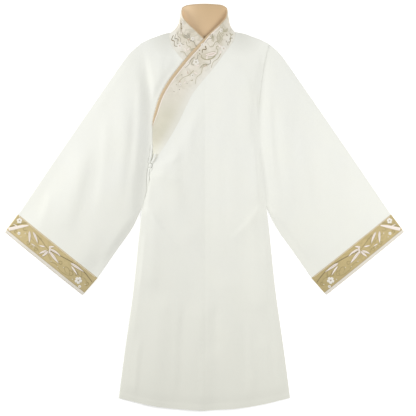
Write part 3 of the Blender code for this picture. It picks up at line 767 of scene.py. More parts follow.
def collar_lining(material):
    rows = slice(MIDDLE_ROW - LINING_ROWS * COLLAR_STEPS, MIDDLE_ROW + LINING_ROWS * COLLAR_STEPS + 1)
    lines = LINES[rows]
    free = 1 - (PIPING_SHOWN[rows] + COVER_GAP) / STRIP_WIDTH[rows]
    surface = collar_surface(lines, strip_shares(lines[:, 8:9], free, LINING_COLUMNS))
    out = outward(surface)
    near, far = surface - SEAM_GAP * out, surface - (SEAM_GAP + LINING_WALL) * out
    obj = shell("collar_satin", near, far, material, "collar_lining")


def ringed(name, centres, wide, high, material, node, count=14):
    """A closed rib along centres, whose section is an oval with the given half axes at each."""
    turn = np.linspace(0, 2 * np.pi, count, endpoint=False)[None, :, None]
    points = centres[:, None] + np.cos(turn) * wide[:, None] + np.sin(turn) * high[:, None]
    faces = rib_faces(len(centres), count)
    return cloth_object(name, points.reshape(-1, 3), faces, material, node)


def piping(material):
    rows = slice(0, MIDDLE_ROW + UNDER_PIPING_ROWS * COLLAR_STEPS + 1)
    surface = collar_surface(LINES[rows], strip_shares(1 - PIPING_SHOWN[rows] / STRIP_WIDTH[rows], 1.0, 2))
    out = outward(surface)[:, 1]
    near, middle, far = surface[:, 0], surface[:, 1], surface[:, 2]
    centres, wide, high = middle + COVER_GAP * out, (far - near) / 2, PIPING_RISE[rows] * out
    obj = ringed("piping_satin", centres, wide, high, material, "piping")


# Stitched motifs, laid on a band through its own coordinates: u along and v across


def arc(turn):
    """Points of the unit circle at these turns."""
    return np.stack([np.cos(turn), np.sin(turn)], axis=-1)


class Band:
    """A surface that motifs lie on, with the points and faces that they gather for each colour.

    Motifs are given in millimetres: u along the band, v across it, and their sizes, widths and heights.
    """

    # A strand's section, across and up, as shares of its half width and of its height
    section = [(1.0, -0.25), (0.72, 0.62), (0.0, 1.0), (-0.72, 0.62), (-1.0, -0.25), (0.0, -0.5)]

    def __init__(self, name, place, slot):
        self.name, self.place, self.slot = name, place, slot
        self.points, self.faces = {}, {}

    def frame_at(self, u, v):
        """Points on the surface and the directions out of it."""
        small = 0.4 * MM
        along = self.place(u + small, v) - self.place(u - small, v)
        across = self.place(u, v + small) - self.place(u, v - small)
        out = unit(np.cross(along, across))
        return self.place(u, v), out * np.sign(out[:, 2:3] + 1e-9)

    def strand(self, colour, path, half, rise=0.35):
        """A stitched strand along a path, with its half width at each point: a low closed rib."""
        path, half = MM * np.asarray(path, float), MM * np.asarray(half, float)
        side = sideways(path)
        places = np.concatenate([path + side * (k * half)[:, None] for k, _ in self.section])
        heights = np.concatenate([np.full(len(path), h * rise * MM) for _, h in self.section])
        here, out = self.frame_at(places[:, 0], places[:, 1])
        count = len(self.section)
        points = (here + out * heights[:, None]).reshape(count, len(path), 3).transpose(1, 0, 2)
        gathered = self.points.setdefault(colour, [])
        faces = self.faces.setdefault(colour, [])
        faces += rib_faces(len(path), count, sum(map(len, gathered)))
        gathered.append(points.reshape(-1, 3))

    def leaf(self, colour, u, v, angle, length, width, bend=0.0, rim=None, rise=0.35):
        """A slender pointed leaf from its foot, turned by angle in degrees and bent to one side."""
        t = np.linspace(0, 1, 11)
        steps = arc(np.radians(angle) + bend * t) * (length / (len(t) - 1))
        path = np.array([u, v]) + np.vstack([[0, 0], np.cumsum(steps[:-1], axis=0)])
        half = width / 2 * np.sin(np.pi * t**0.75) ** 0.85 + 0.08
        if rim:
            self.strand(rim, path, half + 0.8, 0.18)
        self.strand(colour, path, half, rise)

    def loop(self, colour, u, v, angle, long, wide, thick, span, start):
        """An oval scroll line, open where it ends."""
        t = np.linspace(0, 1, 30)
        x, y = (arc(np.radians(start + span * t)) * (long, wide) * (1 - 0.12 * t)[:, None]).T
        cos, sin = np.cos(np.radians(angle)), np.sin(np.radians(angle))
        path = np.stack([u + x * cos - y * sin, v + x * sin + y * cos], axis=1)
        self.strand(colour, path, thick / 2 * np.sin(np.pi * (0.06 + 0.88 * t)) ** 0.6, 0.30)

    def fan(self, colour, u, v, angle, size, count, thick, span=130.0):
        """Arcs one behind the other, as an opened fan has them."""
        t = np.linspace(-0.5, 0.5, 22)
        for k in range(count):
            path = np.array([u, v]) + size * (1 - 0.22 * k) * arc(np.radians(angle + span * t))
            self.strand(colour, path, thick / 2 * (1 - 1.6 * t**2) + 0.05, 0.28)

    def line(self, colour, points, thick, taper=0.4):
        """A stem or a scroll through points, thinner toward its end."""
        path = smooth(points, 7)
        share = np.linspace(0, 1, len(path))
        self.strand(colour, path, thick / 2 * (1 - taper * share) + 0.05, 0.28)

    def curl(self, colour, u, v, angle, size, thick, hand):
        """A scroll that winds in on itself."""
        t = np.linspace(0, 1, 22)
        turn = np.radians(angle) + hand * 2 * np.pi * 1.1 * t
        path = np.array([u, v]) + arc(turn) * (size * (1 - 0.78 * t))[:, None]
        self.strand(colour, path, thick / 2 * (1 - 0.4 * t) + 0.05, 0.28)

    def blossom(self, heart, u, v, size, angle=0.0, petals=5):
        """A round pale blossom of broad petals, with a heart and stamens in a second colour."""
        centre = np.array([u, v])
        t = np.linspace(0, 1, 8)
        half = size * 0.46 * np.sqrt(np.clip(1 - ((t - 0.55) / 0.56) ** 2, 0.02, 1))
        for k in range(petals):
            toward = arc(np.radians(angle + 360 / petals * k))
            self.strand("blossom", centre + size * (0.16 + 0.84 * t)[:, None] * toward, half, 0.42)
            tip = centre + size * 0.42 * toward
            self.strand(heart, [centre, (centre + tip) / 2, tip], [0.35, 0.3, 0.3], 0.62)
        self.dot(heart, u, v, size * 0.20, 0.75)

    def dot(self, colour, u, v, size, rise=0.5):
        t = np.linspace(-1, 1, 7)
        path = np.array([u, v]) + np.stack([t * size, np.zeros(7)], axis=1)
        self.strand(colour, path, size * np.sqrt(np.clip(1 - t**2, 0.02, 1)), rise)

    def each(self, motif, rows, *rest):
        """One motif for each row; what the rows share comes last."""
        for row in rows:
            motif(*row, *rest)

    def pieces(self, colours):
        """One object for each colour that the band uses."""
        made = []
        for colour in sorted(self.points):
            points, faces = np.vstack(self.points[colour]), self.faces[colour]
            name, material = f"{self.name}_{colour}", colours[colour]
            made.append(cloth_object(name, points, faces, material, None))
        return made


def cuff_place(side):
    """Places on a cuff's front: u from its top fold along the band, v from the sleeve's seam outward."""
    inner, outer = mirrored(CUFF_INNER, side), mirrored(CUFF_OUTER, side)
    length = np.linalg.norm(inner[1] - inner[0])

    def place(u, v):
        across, out = u / length, (v / CUFF_DEPTH)[:, None]
        near, far = (line[0] + across[:, None] * (line[1] - line[0]) for line in (inner, outer))
        x, y = ((1 - out) * near + out * far).T
        half = cuff_top(x, y, across) / 2
        return np.column_stack([x, y, half + half * bulge(across, CUFF_WIDE)])

    return place


STRIP_MIDDLE = collar_surface(LINES, np.full((len(LINES), 1), 0.5))[:, 0]
STRIP_RUN = runs(STRIP_MIDDLE)[MIDDLE_ROW] - runs(STRIP_MIDDLE)


def strip_point(u, v):
    """Points of the collar's inner face: u from the middle of the back down the front, v from the seam."""
    at = np.interp(u, STRIP_RUN[::-1], np.arange(len(LINES))[::-1])
    low = np.clip(np.floor(at).astype(int), 0, len(LINES) - 2)
    part = (at - low)[:, None]
    lines = LINES[low] * (1 - part) + LINES[low + 1] * part
    width = np.linalg.norm(lines[:, 3:6] - lines[:, 0:3], axis=1)
    return collar_surface(lines, (v / width)[:, None])[:, 0]


def collar_place(u, v):
    """Places on the collar's outer face, for the same u and v."""
    small = 0.6 * MM
    down = strip_point(u - small, v) - strip_point(u + small, v)
    across = strip_point(u, v + small) - strip_point(u, v - small)
    return strip_point(u, v) + WALL * unit(np.cross(down, across))


def cuff_motifs(side, label):
    """Bamboo leaves, a branch and blossoms on the gold band. u runs from the top fold, v from the sleeve."""
    band = Band(f"cuff_{label}_motif", cuff_place(side), "gold_brocade")
    band.each(band.line, [
        ("stem", [(88, 12), (118, 19), (150, 26), (186, 19)], 1.6),
        ("stem", [(160, 24), (205, 15), (238, 10), (270, 10), (300, 15), (323, 21)], 2.8, 0.1),
        ("stem", [(60, 30), (94, 34), (124, 40)], 1.0),
        ("stem", [(146, 30), (158, 40), (176, 46)], 0.9),
        ("stem", [(272, 12), (284, 26), (290, 40)], 1.1),
        ("stem", [(248, 30), (262, 24), (276, 30), (296, 26), (314, 32)], 1.0),
        ("shade", [(2, 48), (16, 30), (30, 12), (40, 3)], 4.0, 0.2),
    ])
    slant = smooth([(5, 56), (18, 41), (34, 22), (49, 6)], 6)
    band.strand("pale", slant, np.interp(np.linspace(0, 1, len(slant)), [0, 0.2, 0.7, 1], [5.6, 6.2, 4.6, 2]))
    leaves = [
        (62, 18, 47, 40, 9.6, 0.20), (73, 13, 22, 40, 9.4, 0.25), (150, 30, 94, 28, 9.6, 0.25),
        (146, 31, 124, 29, 9.2, -0.15), (153, 28, 16, 50, 11.2, -0.10), (149, 22, -14, 44, 9.8, 0.40),
        (143, 20, -50, 19, 8.0, 0.30), (133, 26, 150, 20, 6.6, 0.20), (146, 14, 60, 26, 8.4, 0.10),
        (230, 16, -10, 52, 12.0, 0.20), (238, 22, 12, 36, 7.4, 0.20), (22, 30, 160, 16, 5.0, 0.20),
        (92, 46, -12, 18, 4.6, 0.20),
    ]
    for u, v, angle, length, width, bend in leaves:
        band.leaf("pale", u, v, angle, length, 0.88 * width, bend, "shade")
        if width > 8:
            band.leaf("heart", u, v, angle, 0.7 * length, 0.9, bend, rise=0.60)
    for u, v, size, angle in [(16.5, 13, 9, 20), (285, 43, 11.4, 50), (40, 45, 5.2, 0), (301, 55.5, 4.8, 30)]:
        band.blossom("heart", u, v, size, angle)
    for u, v, size in [
        (56, 32, 1.6), (52, 50, 1.4), (104, 50, 1.4), (222, 40, 1.3),
        (268, 52, 1.5), (310, 40, 1.5), (178, 50, 1.4), (205, 50, 1.2),
    ]:
        band.dot("blossom", u, v, size)
    for u, v, angle, size, hand in [
        (252, 42, 200, 10, 1), (205, 36, 150, 8, 1), (116, 52, 330, 7, -1), (84, 52, 180, 7, 1),
        (312, 34, 90, 7, -1), (28, 46, 60, 6, 1), (266, 30, 100, 6, -1),
    ]:
        band.curl("shade", u, v, angle, size, 2.4, hand)
    band.loop("shade", 236, 40, 20, 13, 7, 2.0, 280, 60)
    band.loop("shade", 110, 22, 60, 10, 6, 1.8, 260, 10)
    band.loop("shade", 48, 22, 150, 8, 5, 1.8, 260, 200)
    band.line("shade", [(176, 52), (196, 47), (212, 53), (232, 55), (254, 50)], 1.8)
    band.line("shade", [(96, 55), (112, 46), (132, 52), (150, 55)], 1.8)
    u = np.linspace(6, 320, 60)
    # The dark strand at v = 69.9 along the edging's outer edge is painted shade; the other two are stitch
    # lines.
    for colour, v, half in (("pale", 2.2, 0.6), ("heart", 59.8, 0.7), ("heart", 69.9, 0.35)):
        band.strand(colour, np.stack([u, np.full(60, v)], axis=1), np.full(60, half), 0.22)
    return band


def over_collar_motifs(band):
    """The over front's share: fans, an oval scroll, sprays and blossoms that thin out down the chest."""
    band.each(band.fan, [
        ("olive", 132, 30, 70, 25, 4, 2.2),
        ("olive", 104, 50, 330, 17, 2, 2.4),
        ("olive", 168, 66, 200, 14, 3, 2.0),
        ("olive", 246, 20, 120, 14, 3, 1.9),
    ])
    band.leaf("pale", 184, 22, 30, 40, 15, 0.5, "olive")
    band.leaf("pink", 190, 26, 33, 28, 3, 0.5, rise=0.6)
    band.loop("olive", 208, 40, 40, 25, 15, 4.2, 230, 150)
    band.each(band.line, [
        ("stem", [(192, 64), (199, 56), (206, 64), (215, 59)], 3.5),
        ("olive", [(98, 8), (112, 14), (124, 8), (142, 6)], 2.25),
        ("grey", [(150, 70), (160, 62), (170, 70), (184, 71)], 2),
        ("olive", [(176, 10), (196, 8), (216, 13), (234, 7)], 2.25),
        ("grey", [(228, 66), (240, 60), (252, 66), (268, 62)], 2),
        ("olive", [(250, 30), (268, 20), (288, 22), (306, 12)], 1.875),
        ("olive", [(276, 44), (296, 46), (316, 56), (336, 58)], 1.875),
        ("olive", [(152, 40), (164, 46), (178, 44), (186, 52)], 2.25),
        ("stem", [(112, 6), (119, 13), (126, 7), (134, 12), (141, 8)], 2.25),
        ("grey", [(216, 24), (226, 18), (236, 26), (246, 34), (258, 34)], 2.25),
        ("grey", [(240, 70), (256, 72), (270, 68), (286, 70)], 2),
        ("olive", [(160, 28), (172, 34), (176, 24), (190, 18)], 2.25),
    ])
    band.each(band.leaf, [
        ("pale", 158, 20, 60, 16, 6.0), ("pale", 168, 14, -20, 15, 5.4), ("pale", 222, 34, 140, 14, 5.4),
        ("pale", 250, 42, 20, 14, 5.0), ("pale", 276, 26, 70, 14, 5.0), ("pink", 236, 24, 10, 12, 4.0),
        ("pink", 296, 50, 120, 10, 3.2), ("pale", 318, 40, 10, 11, 3.6), ("pink", 330, 52, 80, 9, 2.6),
        ("grey", 262, 54, 60, 7, 2.6), ("grey", 214, 68, 80, 7, 2.6), ("olive", 300, 26, 20, 9, 3.0),
    ], 0.4)
    band.each(band.blossom, [
        ("pink", 158, 12, 9.5, 10), ("olive", 250, 56, 10.0, 30), ("pink", 196, 74, 5.0, 0),
        ("olive", 290, 36, 6.4, 15), ("pink", 124, 53, 6.0, 40), ("pink", 336, 50, 4.6, 25),
    ])
    band.each(band.dot, [
        ("grey", 352, 44, 1.6), ("grey", 322, 34, 1.3), ("grey", 366, 56, 1.4), ("grey", 310, 64, 1.6),
        ("grey", 344, 60, 1.2),
    ])


def under_collar_motifs(band):
    """The under front's share, which shows above the crossing."""
    band.each(band.fan, [
        ("stem", -98, 50, 140, 20, 3, 2.6, 100),
        ("grey", -132, 64, 210, 16, 3, 2.2),
        ("olive", -176, 54, 200, 16, 3, 2.2),
    ])
    band.each(band.line, [
        ("grey", [(-100, 20), (-108, 14), (-116, 22), (-126, 16), (-136, 24)], 2.88),
        ("grey", [(-102, 34), (-112, 28), (-124, 34), (-138, 28), (-152, 34)], 2.16),
        ("olive", [(-150, 46), (-160, 40), (-172, 44), (-184, 36)], 1.92),
        ("olive", [(-156, 10), (-168, 18), (-182, 16), (-196, 22)], 1.92),
        ("stem", [(-96, 10), (-104, 4), (-114, 10), (-124, 6), (-134, 12)], 2.16),
        ("grey", [(-146, 66), (-156, 58), (-168, 64), (-180, 60), (-192, 66)], 2.4),
        ("olive", [(-120, 54), (-132, 48), (-146, 54), (-160, 50)], 2.16),
    ])
    band.each(band.blossom, [
        ("pink", -140, 20, 10.0, 50), ("pink", -160, 68, 6.0, 20), ("pink", -190, 40, 6.6, 0),
        ("pink", -112, 74, 5.0, 30),
    ])
    band.each(band.leaf, [
        ("pale", -122, 46, 80, 14), ("pale", -160, 28, 200, 14), ("pale", -182, 54, 160, 12),
        ("pink", -150, 52, 120, 11), ("pale", -170, 30, 110, 12),
    ], 5.0, -0.4)


def collar_accents(band):
    """A few dark short strokes between the scrolls."""
    band.each(band.leaf, [
        ("stem", 118, 24, 60, 8, 2.6), ("stem", 106, 14, 70, 8, 2.6), ("stem", 138, 16, 140, 7, 2.0),
        ("stem", 222, 60, 75, 8, 2.4), ("stem", -104, 62, 120, 11, 3.0), ("stem", -112, 54, 110, 9, 2.6),
        ("stem", -100, 26, 170, 8, 2.2), ("stem", -118, 26, 190, 8, 2.2),
    ], 0.8)


def collar_motifs():
    band = Band("collar_motif", collar_place, "brocade")
    over_collar_motifs(band)
    under_collar_motifs(band)
    collar_accents(band)
    return band


def pale_line(band):
    """The pale line of stitches beside the piping, down the over front."""
    u = np.linspace(0.120, STRIP_RUN[0] - 0.006, 160)
    width = np.interp(u, STRIP_RUN[::-1], STRIP_WIDTH[::-1, 0])
    shown = np.interp(u, STRIP_RUN[::-1], PIPING_SHOWN[::-1, 0])
    path = np.stack([u, width - shown - 2.6 * MM], axis=1) / MM
    band.strand("pale", path, np.full(len(u), 1.5), 0.3)


# Materials


class Tree:
    """A small helper that adds shader nodes and joins them."""

    def __init__(self, name):
        self.material = bpy.data.materials.new(name)
        self.material.use_nodes = True
        self.nodes = self.material.node_tree.nodes
        self.links = self.material.node_tree.links
        self.shader = self.nodes["Principled BSDF"]
        self.place = self.add("ShaderNodeTexCoord").outputs["Object"]

    def add(self, kind, settings=(), **inputs):
        node = self.nodes.new(kind)
        for key, value in dict(settings).items():
            setattr(node, key, value)
        for key, value in inputs.items():
            socket = node.inputs[int(key[1:])] if key[1:].isdigit() else node.inputs[key.replace("_", " ")]
            self.put(socket, value)
        return node

    def put(self, socket, value):
        """Joins another socket, or sets the value. A colour comes without its alpha."""
        if isinstance(value, bpy.types.NodeSocket):
            self.links.new(value, socket)
        elif socket.type == "RGBA":
            socket.default_value = (*value, 1)
        else:
            socket.default_value = value

    def maths(self, operation, first, second=0.0):
        return self.add("ShaderNodeMath", {"operation": operation}, i0=first, i1=second).outputs[0]

    def times(self, first, second):
        return self.maths("MULTIPLY", first, second)

    def tinted(self, colour, share, strength, tint):
        """The colour with a tint blended in by a share at a strength."""
        return self.blend(self.times(share, strength), colour, tint)

    def turned(self, angle, stretch=(1, 1, 1)):
        node = self.add("ShaderNodeMapping", i0=self.place)
        node.inputs["Rotation"].default_value = (0, 0, np.radians(angle))
        node.inputs["Scale"].default_value = stretch
        return node.outputs[0]

    def axis(self, number):
        """The x (0) or y (1) of each place."""
        return self.add("ShaderNodeSeparateXYZ", i0=self.place).outputs[number]

    def noise(self, scale, detail=3.0, place=None):
        place = place or self.place
        return self.add("ShaderNodeTexNoise", Vector=place, Scale=scale, Detail=detail).outputs[0]

    def swirl(self, scale, distortion, detail, detail_scale):
        """Marbled rings."""
        settings = {"wave_type": "RINGS"}
        sizes = {"Scale": scale, "Distortion": distortion, "Detail": detail, "Detail_Scale": detail_scale}
        return self.add("ShaderNodeTexWave", settings, Vector=self.place, **sizes).outputs["Fac"]

    def threads(self, period, place, direction):
        """Ridges of threads with this spacing."""
        scale = 2 * np.pi / (20 * period)
        node = self.add("ShaderNodeTexWave", {"bands_direction": direction}, Vector=place, Scale=scale)
        return node.outputs["Fac"]

    def between(self, share, low, high):
        """The share's stretch from low to high, as 0 to 1."""
        return self.add("ShaderNodeMapRange", i0=share, i1=low, i2=high).outputs[0]

    def blend(self, share, first, second):
        node = self.add("ShaderNodeMix", {"data_type": "RGBA"})
        self.put(node.inputs[0], share)
        self.put(node.inputs[6], first)
        self.put(node.inputs[7], second)
        return node.outputs[2]

    def bump(self, height, distance, strength=1.0, under=None):
        node = self.add("ShaderNodeBump", Height=height, Distance=distance, Strength=strength)
        if under is not None:
            self.links.new(under, node.inputs["Normal"])
        return node.outputs[0]

    def finish(self, colour, roughness, normal=None, sheen=0.0, specular=0.3):
        values = {"Base Color": colour, "Roughness": roughness, "Specular IOR Level": specular}
        values |= {"Sheen Weight": sheen, "Sheen Roughness": 0.5}
        for name, value in values.items():
            self.put(self.shader.inputs[name], value)
        if normal is not None:
            self.links.new(normal, self.shader.inputs["Normal"])
        return self.material


def plain_cloth():
    """Smooth off-white woven cloth: fine threads, a few thicker ones, and a warmer tone toward the hem, where
    it is also darker with painted shade. Near both neck points it is darker with painted shade too.
    """
    tree = Tree("cloth_woven")
    weave = tree.times(*(tree.threads(0.9 * MM, tree.place, way) for way in "XY"))
    slub = tree.noise(130.0, 2.0, tree.turned(0, (1.0, 0.12, 1.0)))
    cloud = tree.noise(9.0, 3.0)
    height = tree.axis(1)
    # Painted shade: the cloth turns darker toward the hem, besides its warmer tone there.
    low = tree.between(height, 0.20, -0.62)
    upper = tree.blend(cloud, (0.826, 0.834, 0.796), (0.850, 0.854, 0.776))
    shaded_lower = tree.blend(cloud, (0.802, 0.804, 0.722), (0.826, 0.826, 0.740))
    colour = tree.tinted(tree.blend(low, upper, shaded_lower), slub, 0.10, (0.74, 0.735, 0.68))
    # Painted shade: the cloth darkens toward both neck points, beside the collar.
    aside = tree.maths("ABSOLUTE", tree.axis(0))
    neck_shade_distance = tree.add("ShaderNodeVectorMath", {"operation": "DISTANCE"}, i1=(0.118, 0.556, 0.003))
    tree.put(neck_shade_distance.inputs[0], tree.add("ShaderNodeCombineXYZ", i0=aside, i1=height, i2=0.003).outputs[0])
    colour = tree.blend(tree.between(neck_shade_distance.outputs["Value"], 0.075, 0.0), colour, (0.700, 0.700, 0.640))
    normal = tree.bump(slub, 0.35 * MM, 0.35, tree.bump(weave, 0.10 * MM, 0.5))
    return tree.finish(colour, 0.82, normal, sheen=0.12, specular=0.25)


def satin(name, colour, deep, roughness, angle=0.0, lit=None):
    """Satin: very fine threads one way, a soft gloss and slight changes of tone. With a lit colour it also
    gets a painted highlight on its left part and painted shade toward the top of its middle and right.
    """
    tree = Tree(name)
    floats = tree.noise(900.0, 2.0, tree.turned(angle, (1.0, 0.08, 1.0)))
    tone = tree.blend(tree.noise(14.0, 3.0), colour, deep)
    if lit:
        across, height = tree.axis(0), tree.axis(1)
        # Painted light: the left part is lighter; painted shade: the middle and right turn darker toward the
        # top.
        tone = tree.blend(tree.between(across, -0.020, -0.060), tone, lit)
        top = tree.times(tree.between(height, 0.575, 0.650), tree.between(across, -0.050, 0.010))
        tone = tree.blend(top, tone, (0.618, 0.440, 0.252))
    normal = tree.bump(floats, 0.08 * MM, 0.5)
    return tree.finish(tone, roughness, normal, sheen=0.10, specular=0.4)


def brocade():
    """Pale beige brocade: soft clouds and marbled scroll lines at the neck, and plain toward the waist."""
    tree = Tree("brocade_beige")
    twill = tree.threads(0.8 * MM, tree.turned(45), "X")
    height = tree.axis(1)
    dense = tree.between(height, 0.33, 0.47)
    tip = tree.between(height, 0.218, 0.180)
    scroll = tree.between(tree.swirl(8.0, 11.0, 2.5, 4.0), 0.70, 0.96)
    cloud = tree.between(tree.noise(30.0, 3.0), 0.35, 0.65)
    neck = tree.blend(cloud, (0.660, 0.608, 0.490), (0.806, 0.756, 0.660))
    waist = tree.blend(cloud, (0.668, 0.644, 0.520), (0.706, 0.676, 0.556))
    waist = tree.blend(tree.between(height, 0.290, 0.370), waist, (0.765, 0.732, 0.638))
    ground = tree.blend(dense, waist, neck)
    ground = tree.blend(tip, ground, (0.845, 0.830, 0.704))
    lines = tree.times(scroll, tree.times(dense, 0.30))
    colour = tree.blend(lines, ground, (0.430, 0.400, 0.300))
    near_seam = tree.add("ShaderNodeAttribute", {"attribute_name": "near_seam"}).outputs["Fac"]
    colour = tree.tinted(colour, near_seam, 0.62, (0.815, 0.812, 0.755))
    raised_lines = tree.bump(lines, 0.30 * MM, 0.5, tree.bump(twill, 0.10 * MM, 0.5))
    return tree.finish(colour, 0.55, raised_lines, sheen=0.12, specular=0.35)


def gold_brocade():
    """Olive-gold brocade: a fine twill with tone-on-tone swirls."""
    tree = Tree("brocade_gold")
    twill = tree.threads(0.9 * MM, tree.turned(38), "X")
    warp = tree.noise(22.0, 3.0)
    swirl = tree.swirl(9.0, 14.0, 3.0, 3.0)
    height = tree.axis(1)
    bright = tree.blend(warp, (0.538, 0.426, 0.188), (0.620, 0.484, 0.232))
    bright = tree.blend(tree.between(height, -0.13, -0.05), bright, (0.482, 0.377, 0.172))
    bright = tree.blend(tree.between(height, -0.10, -0.27), bright, (0.458, 0.366, 0.172))
    colour = tree.tinted(bright, tree.between(swirl, 0.35, 0.90), 0.38, (0.400, 0.320, 0.135))
    colour = tree.tinted(colour, twill, 0.14, (0.72, 0.62, 0.38))
    grain = tree.between(tree.noise(210.0, 2.0), 0.40, 0.72)
    colour = tree.tinted(colour, grain, 0.30, (0.420, 0.330, 0.130))
    # Painted light: the cuff at negative x is tinted lighter than the other one.
    colour = tree.tinted(colour, tree.between(tree.axis(0), 0.20, -0.20), 0.12, (0.86, 0.76, 0.50))
    normal = tree.bump(swirl, 0.20 * MM, 0.4, tree.bump(twill, 0.12 * MM, 0.6))
    return tree.finish(colour, 0.50, normal, sheen=0.12, specular=0.4)


def thread(name, colour, deep):
    """Satin-stitch thread in one colour."""
    tree = Tree(name)
    strands = tree.noise(700.0, 2.0, tree.turned(30, (1.0, 0.15, 1.0)))
    tone = tree.blend(strands, colour, deep)
    return tree.finish(tone, 0.45, tree.bump(strands, 0.10 * MM, 0.6), sheen=0.1, specular=0.4)


def edging_cloth():
    tree = Tree("edging_white")
    ribs = tree.threads(1.1 * MM, tree.turned(52), "X")
    # Painted shade: the white edging is coloured grey-beige, darker than white cloth.
    colour = tree.blend(ribs, (0.790, 0.750, 0.665), (0.700, 0.660, 0.570))
    return tree.finish(colour, 0.7, tree.bump(ribs, 0.15 * MM, 0.5))


CLOTH = plain_cloth()
BROCADE = brocade()
GOLD = gold_brocade()
# The lining's last colour is its painted highlight, on its left part.
LINING = satin("satin_tan", (0.715, 0.522, 0.318), (0.668, 0.480, 0.285), 0.42, 90, (0.845, 0.632, 0.402))
PIPING = satin("satin_piping", (0.640, 0.500, 0.325), (0.575, 0.438, 0.272), 0.38)
EDGING = edging_cloth()
THREADS = {
    "pale": thread("thread_pale", (0.890, 0.815, 0.750), (0.820, 0.730, 0.650)),
    "blossom": thread("thread_white", (0.860, 0.835, 0.770), (0.780, 0.740, 0.660)),
    "heart": thread("thread_heart", (0.450, 0.370, 0.250), (0.360, 0.290, 0.190)),
    "stem": thread("thread_stem", (0.200, 0.155, 0.075), (0.270, 0.210, 0.105)),
    "shade": thread("thread_shade", (0.370, 0.290, 0.125), (0.310, 0.245, 0.105)),
    "grey": thread("thread_grey", (0.280, 0.255, 0.195), (0.370, 0.340, 0.265)),
    "olive": thread("thread_olive", (0.470, 0.430, 0.285), (0.400, 0.365, 0.230)),
    "pink": thread("thread_pink", (0.640, 0.520, 0.420), (0.560, 0.440, 0.340)),
}

# The pieces

back(LEFT, "left", CLOTH)
back(RIGHT, "right", CLOTH)
front_half(RIGHT, "right", under_shown, SIDE_INSET, (84, 260), CLOTH)
lap(RIGHT, "right", under_height, SIDE_INSET, (40, 90), CLOTH)
front_half(LEFT, "left", over_shown, 0.0, (84, 280), CLOTH)
lap(LEFT, "left", over_shown, 0.0, (84, 240), CLOTH)
for side, label, height in ((LEFT, "left", over_height), (RIGHT, "right", under_height)):
    sleeve(side, label, height, CLOTH)
    gap, edging = SEWN_GAP / CUFF_DEPTH, 1 - EDGING_SHOWN
    stitched = cuff_motifs(side, label).pieces(THREADS)
    name = f"cuff_{label}"
    cuff(side, f"{name}_brocade", name, gap, edging - gap, 28, GOLD)
    cuff(side, f"cuff_{label}_edging", f"cuff_edge_{label}", edging, 1 + EDGING_PAST, 3, EDGING)
collar_band = collar_motifs()
pale_line(collar_band)
collar(BROCADE, collar_band.pieces(THREADS))
collar_lining(LINING)
piping(PIPING)


def tie(name, above, points, material):
    """A tie: a narrow strip of cloth folded double, with soft round edges."""
    path = smooth(points, 14)
    side = sideways(path)
    share = np.linspace(0, 1, len(path))
    ripple = 0.25 * MM * np.sin(14 * share + len(name))
    edges = path[:, None] + side[:, None] * (np.array([-0.5, 0.0, 0.5]) * TIE_WIDTH)[None, :, None]
    base = over_height(edges[..., 0], edges[..., 1]).max(axis=1)
    shown = over_shown(path[:, 0], path[:, 1])
    low = above + np.where(path[:, 0] > TIE_ON_OVER_FRONT, np.maximum(base, shown + WALL), base)
    centres = np.column_stack([path, low + TIE_ROUND + ripple])
    tilt = 0.35 * MM * np.cos(11 * share)
    wide = np.column_stack([side * TIE_WIDTH / 2, tilt])
    high = np.broadcast_to([0, 0, TIE_ROUND], wide.shape)
    obj = ringed(f"{name}_cloth", centres, wide, high, material, name, 12)


for name, (above, points) in TIES.items():
    tie(name, above, points, CLOTH)


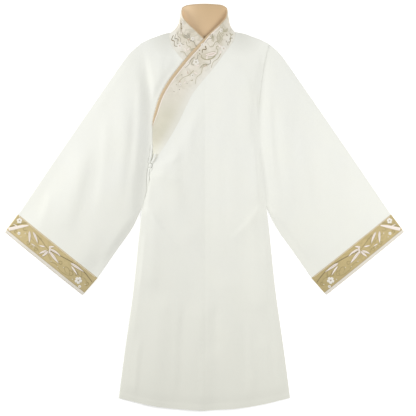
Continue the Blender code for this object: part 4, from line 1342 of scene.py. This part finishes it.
def knot(material):
    """The knot: a small wrapped lump with grooves where the strips cross."""
    rows, columns = 26, 40
    lat = np.linspace(-np.pi / 2, np.pi / 2, rows)[1:-1, None]
    lon = np.linspace(0, 2 * np.pi, columns, endpoint=False)[None, :]
    x, y, z = np.cos(lat) * np.cos(lon), np.cos(lat) * np.sin(lon), np.sin(lat) * np.ones_like(lon)
    first = 0.12 * np.exp(-(((x + 0.45 * y) / 0.14) ** 2))
    second = 0.08 * np.exp(-(((x - 0.6 * y - 0.35) / 0.12) ** 2))
    size = 1 - (first + second) * (z > -0.2)
    low = float(under_shown(np.array(KNOT_AT[0]), np.array(KNOT_AT[1]))) + WALL + SEAM_GAP
    centre = np.array([KNOT_AT[0], KNOT_AT[1], low + KNOT_SIZE[2] / 2])
    points = np.stack([x * size, y * size, z * size], axis=2) * (np.array(KNOT_SIZE) / 2) + centre
    poles = np.array([centre - (0, 0, KNOT_SIZE[2] / 2), centre + (0, 0, KNOT_SIZE[2] / 2)])
    number = np.arange((rows - 2) * columns).reshape(rows - 2, columns)
    south, north = number.size, number.size + 1
    faces = grid_faces(number, True).tolist()
    for c in range(columns):
        d = (c + 1) % columns
        faces.append([south, int(number[0, d]), int(number[0, c])])
        faces.append([north, int(number[-1, c]), int(number[-1, d])])
    points = np.vstack([points.reshape(-1, 3), poles])
    cloth_object("tie_knot_cloth", points, faces, material, "tie_knot")


knot(CLOTH)

# Camera: straight above, with the photo's frame

FRAME_SIDE = 1.3312
FRAME_CENTRE = (0.0112, -0.0016)
LENS = 100.0
SENSOR = 36.0
FOCUS_HEIGHT = 0.006
camera_data = bpy.data.cameras.new("camera")
camera_data.lens = LENS
camera_data.sensor_width = SENSOR
camera = placed("camera", camera_data)
camera.location = (*FRAME_CENTRE, FRAME_SIDE * LENS / SENSOR + FOCUS_HEIGHT)
bpy.context.scene.camera = camera

# Floor and light

LIT_POINT = Vector((0.0, 0.05, 0.0))
FLOOR_GLOW = 0.36
SKY_GLOW = 0.48


def floor():
    size = 14.0
    mesh = bpy.data.meshes.new("floor")
    corners = [(-size, -size, 0), (size, -size, 0), (size, size, 0), (-size, size, 0)]
    mesh.from_pydata(corners, [], [(0, 1, 2, 3)])
    obj = placed("floor", mesh)
    obj.location.z = -0.2 * MM
    tree = Tree("floor_pale")
    tree.shader.inputs["Emission Color"].default_value = (1, 1, 1, 1)
    tree.shader.inputs["Emission Strength"].default_value = FLOOR_GLOW
    mesh.materials.append(tree.finish((0.92, 0.92, 0.92), 0.9, specular=0.0))


def soft_light(name, place, size, power):
    """A square light that is aimed at the chest."""
    data = bpy.data.lights.new(name, "AREA")
    data.shape = "SQUARE"
    data.size = size
    data.energy = power
    obj = placed(name, data)
    obj.location = place
    obj.rotation_euler = (LIT_POINT - Vector(place)).to_track_quat("-Z", "Y").to_euler()


floor()
world = bpy.data.worlds.new("world")
bpy.context.scene.world = world
world.use_nodes = True
background = world.node_tree.nodes["Background"]
background.inputs["Color"].default_value = (1, 1, 1, 1)
background.inputs["Strength"].default_value = SKY_GLOW
soft_light("light_left", (-2.04, 0.61, 0.70), 0.8, 32.2)
soft_light("light_right", (1.555, 0.25, 1.60), 1.0, 24.2)
bpy.context.scene.view_settings.view_transform = "Standard"
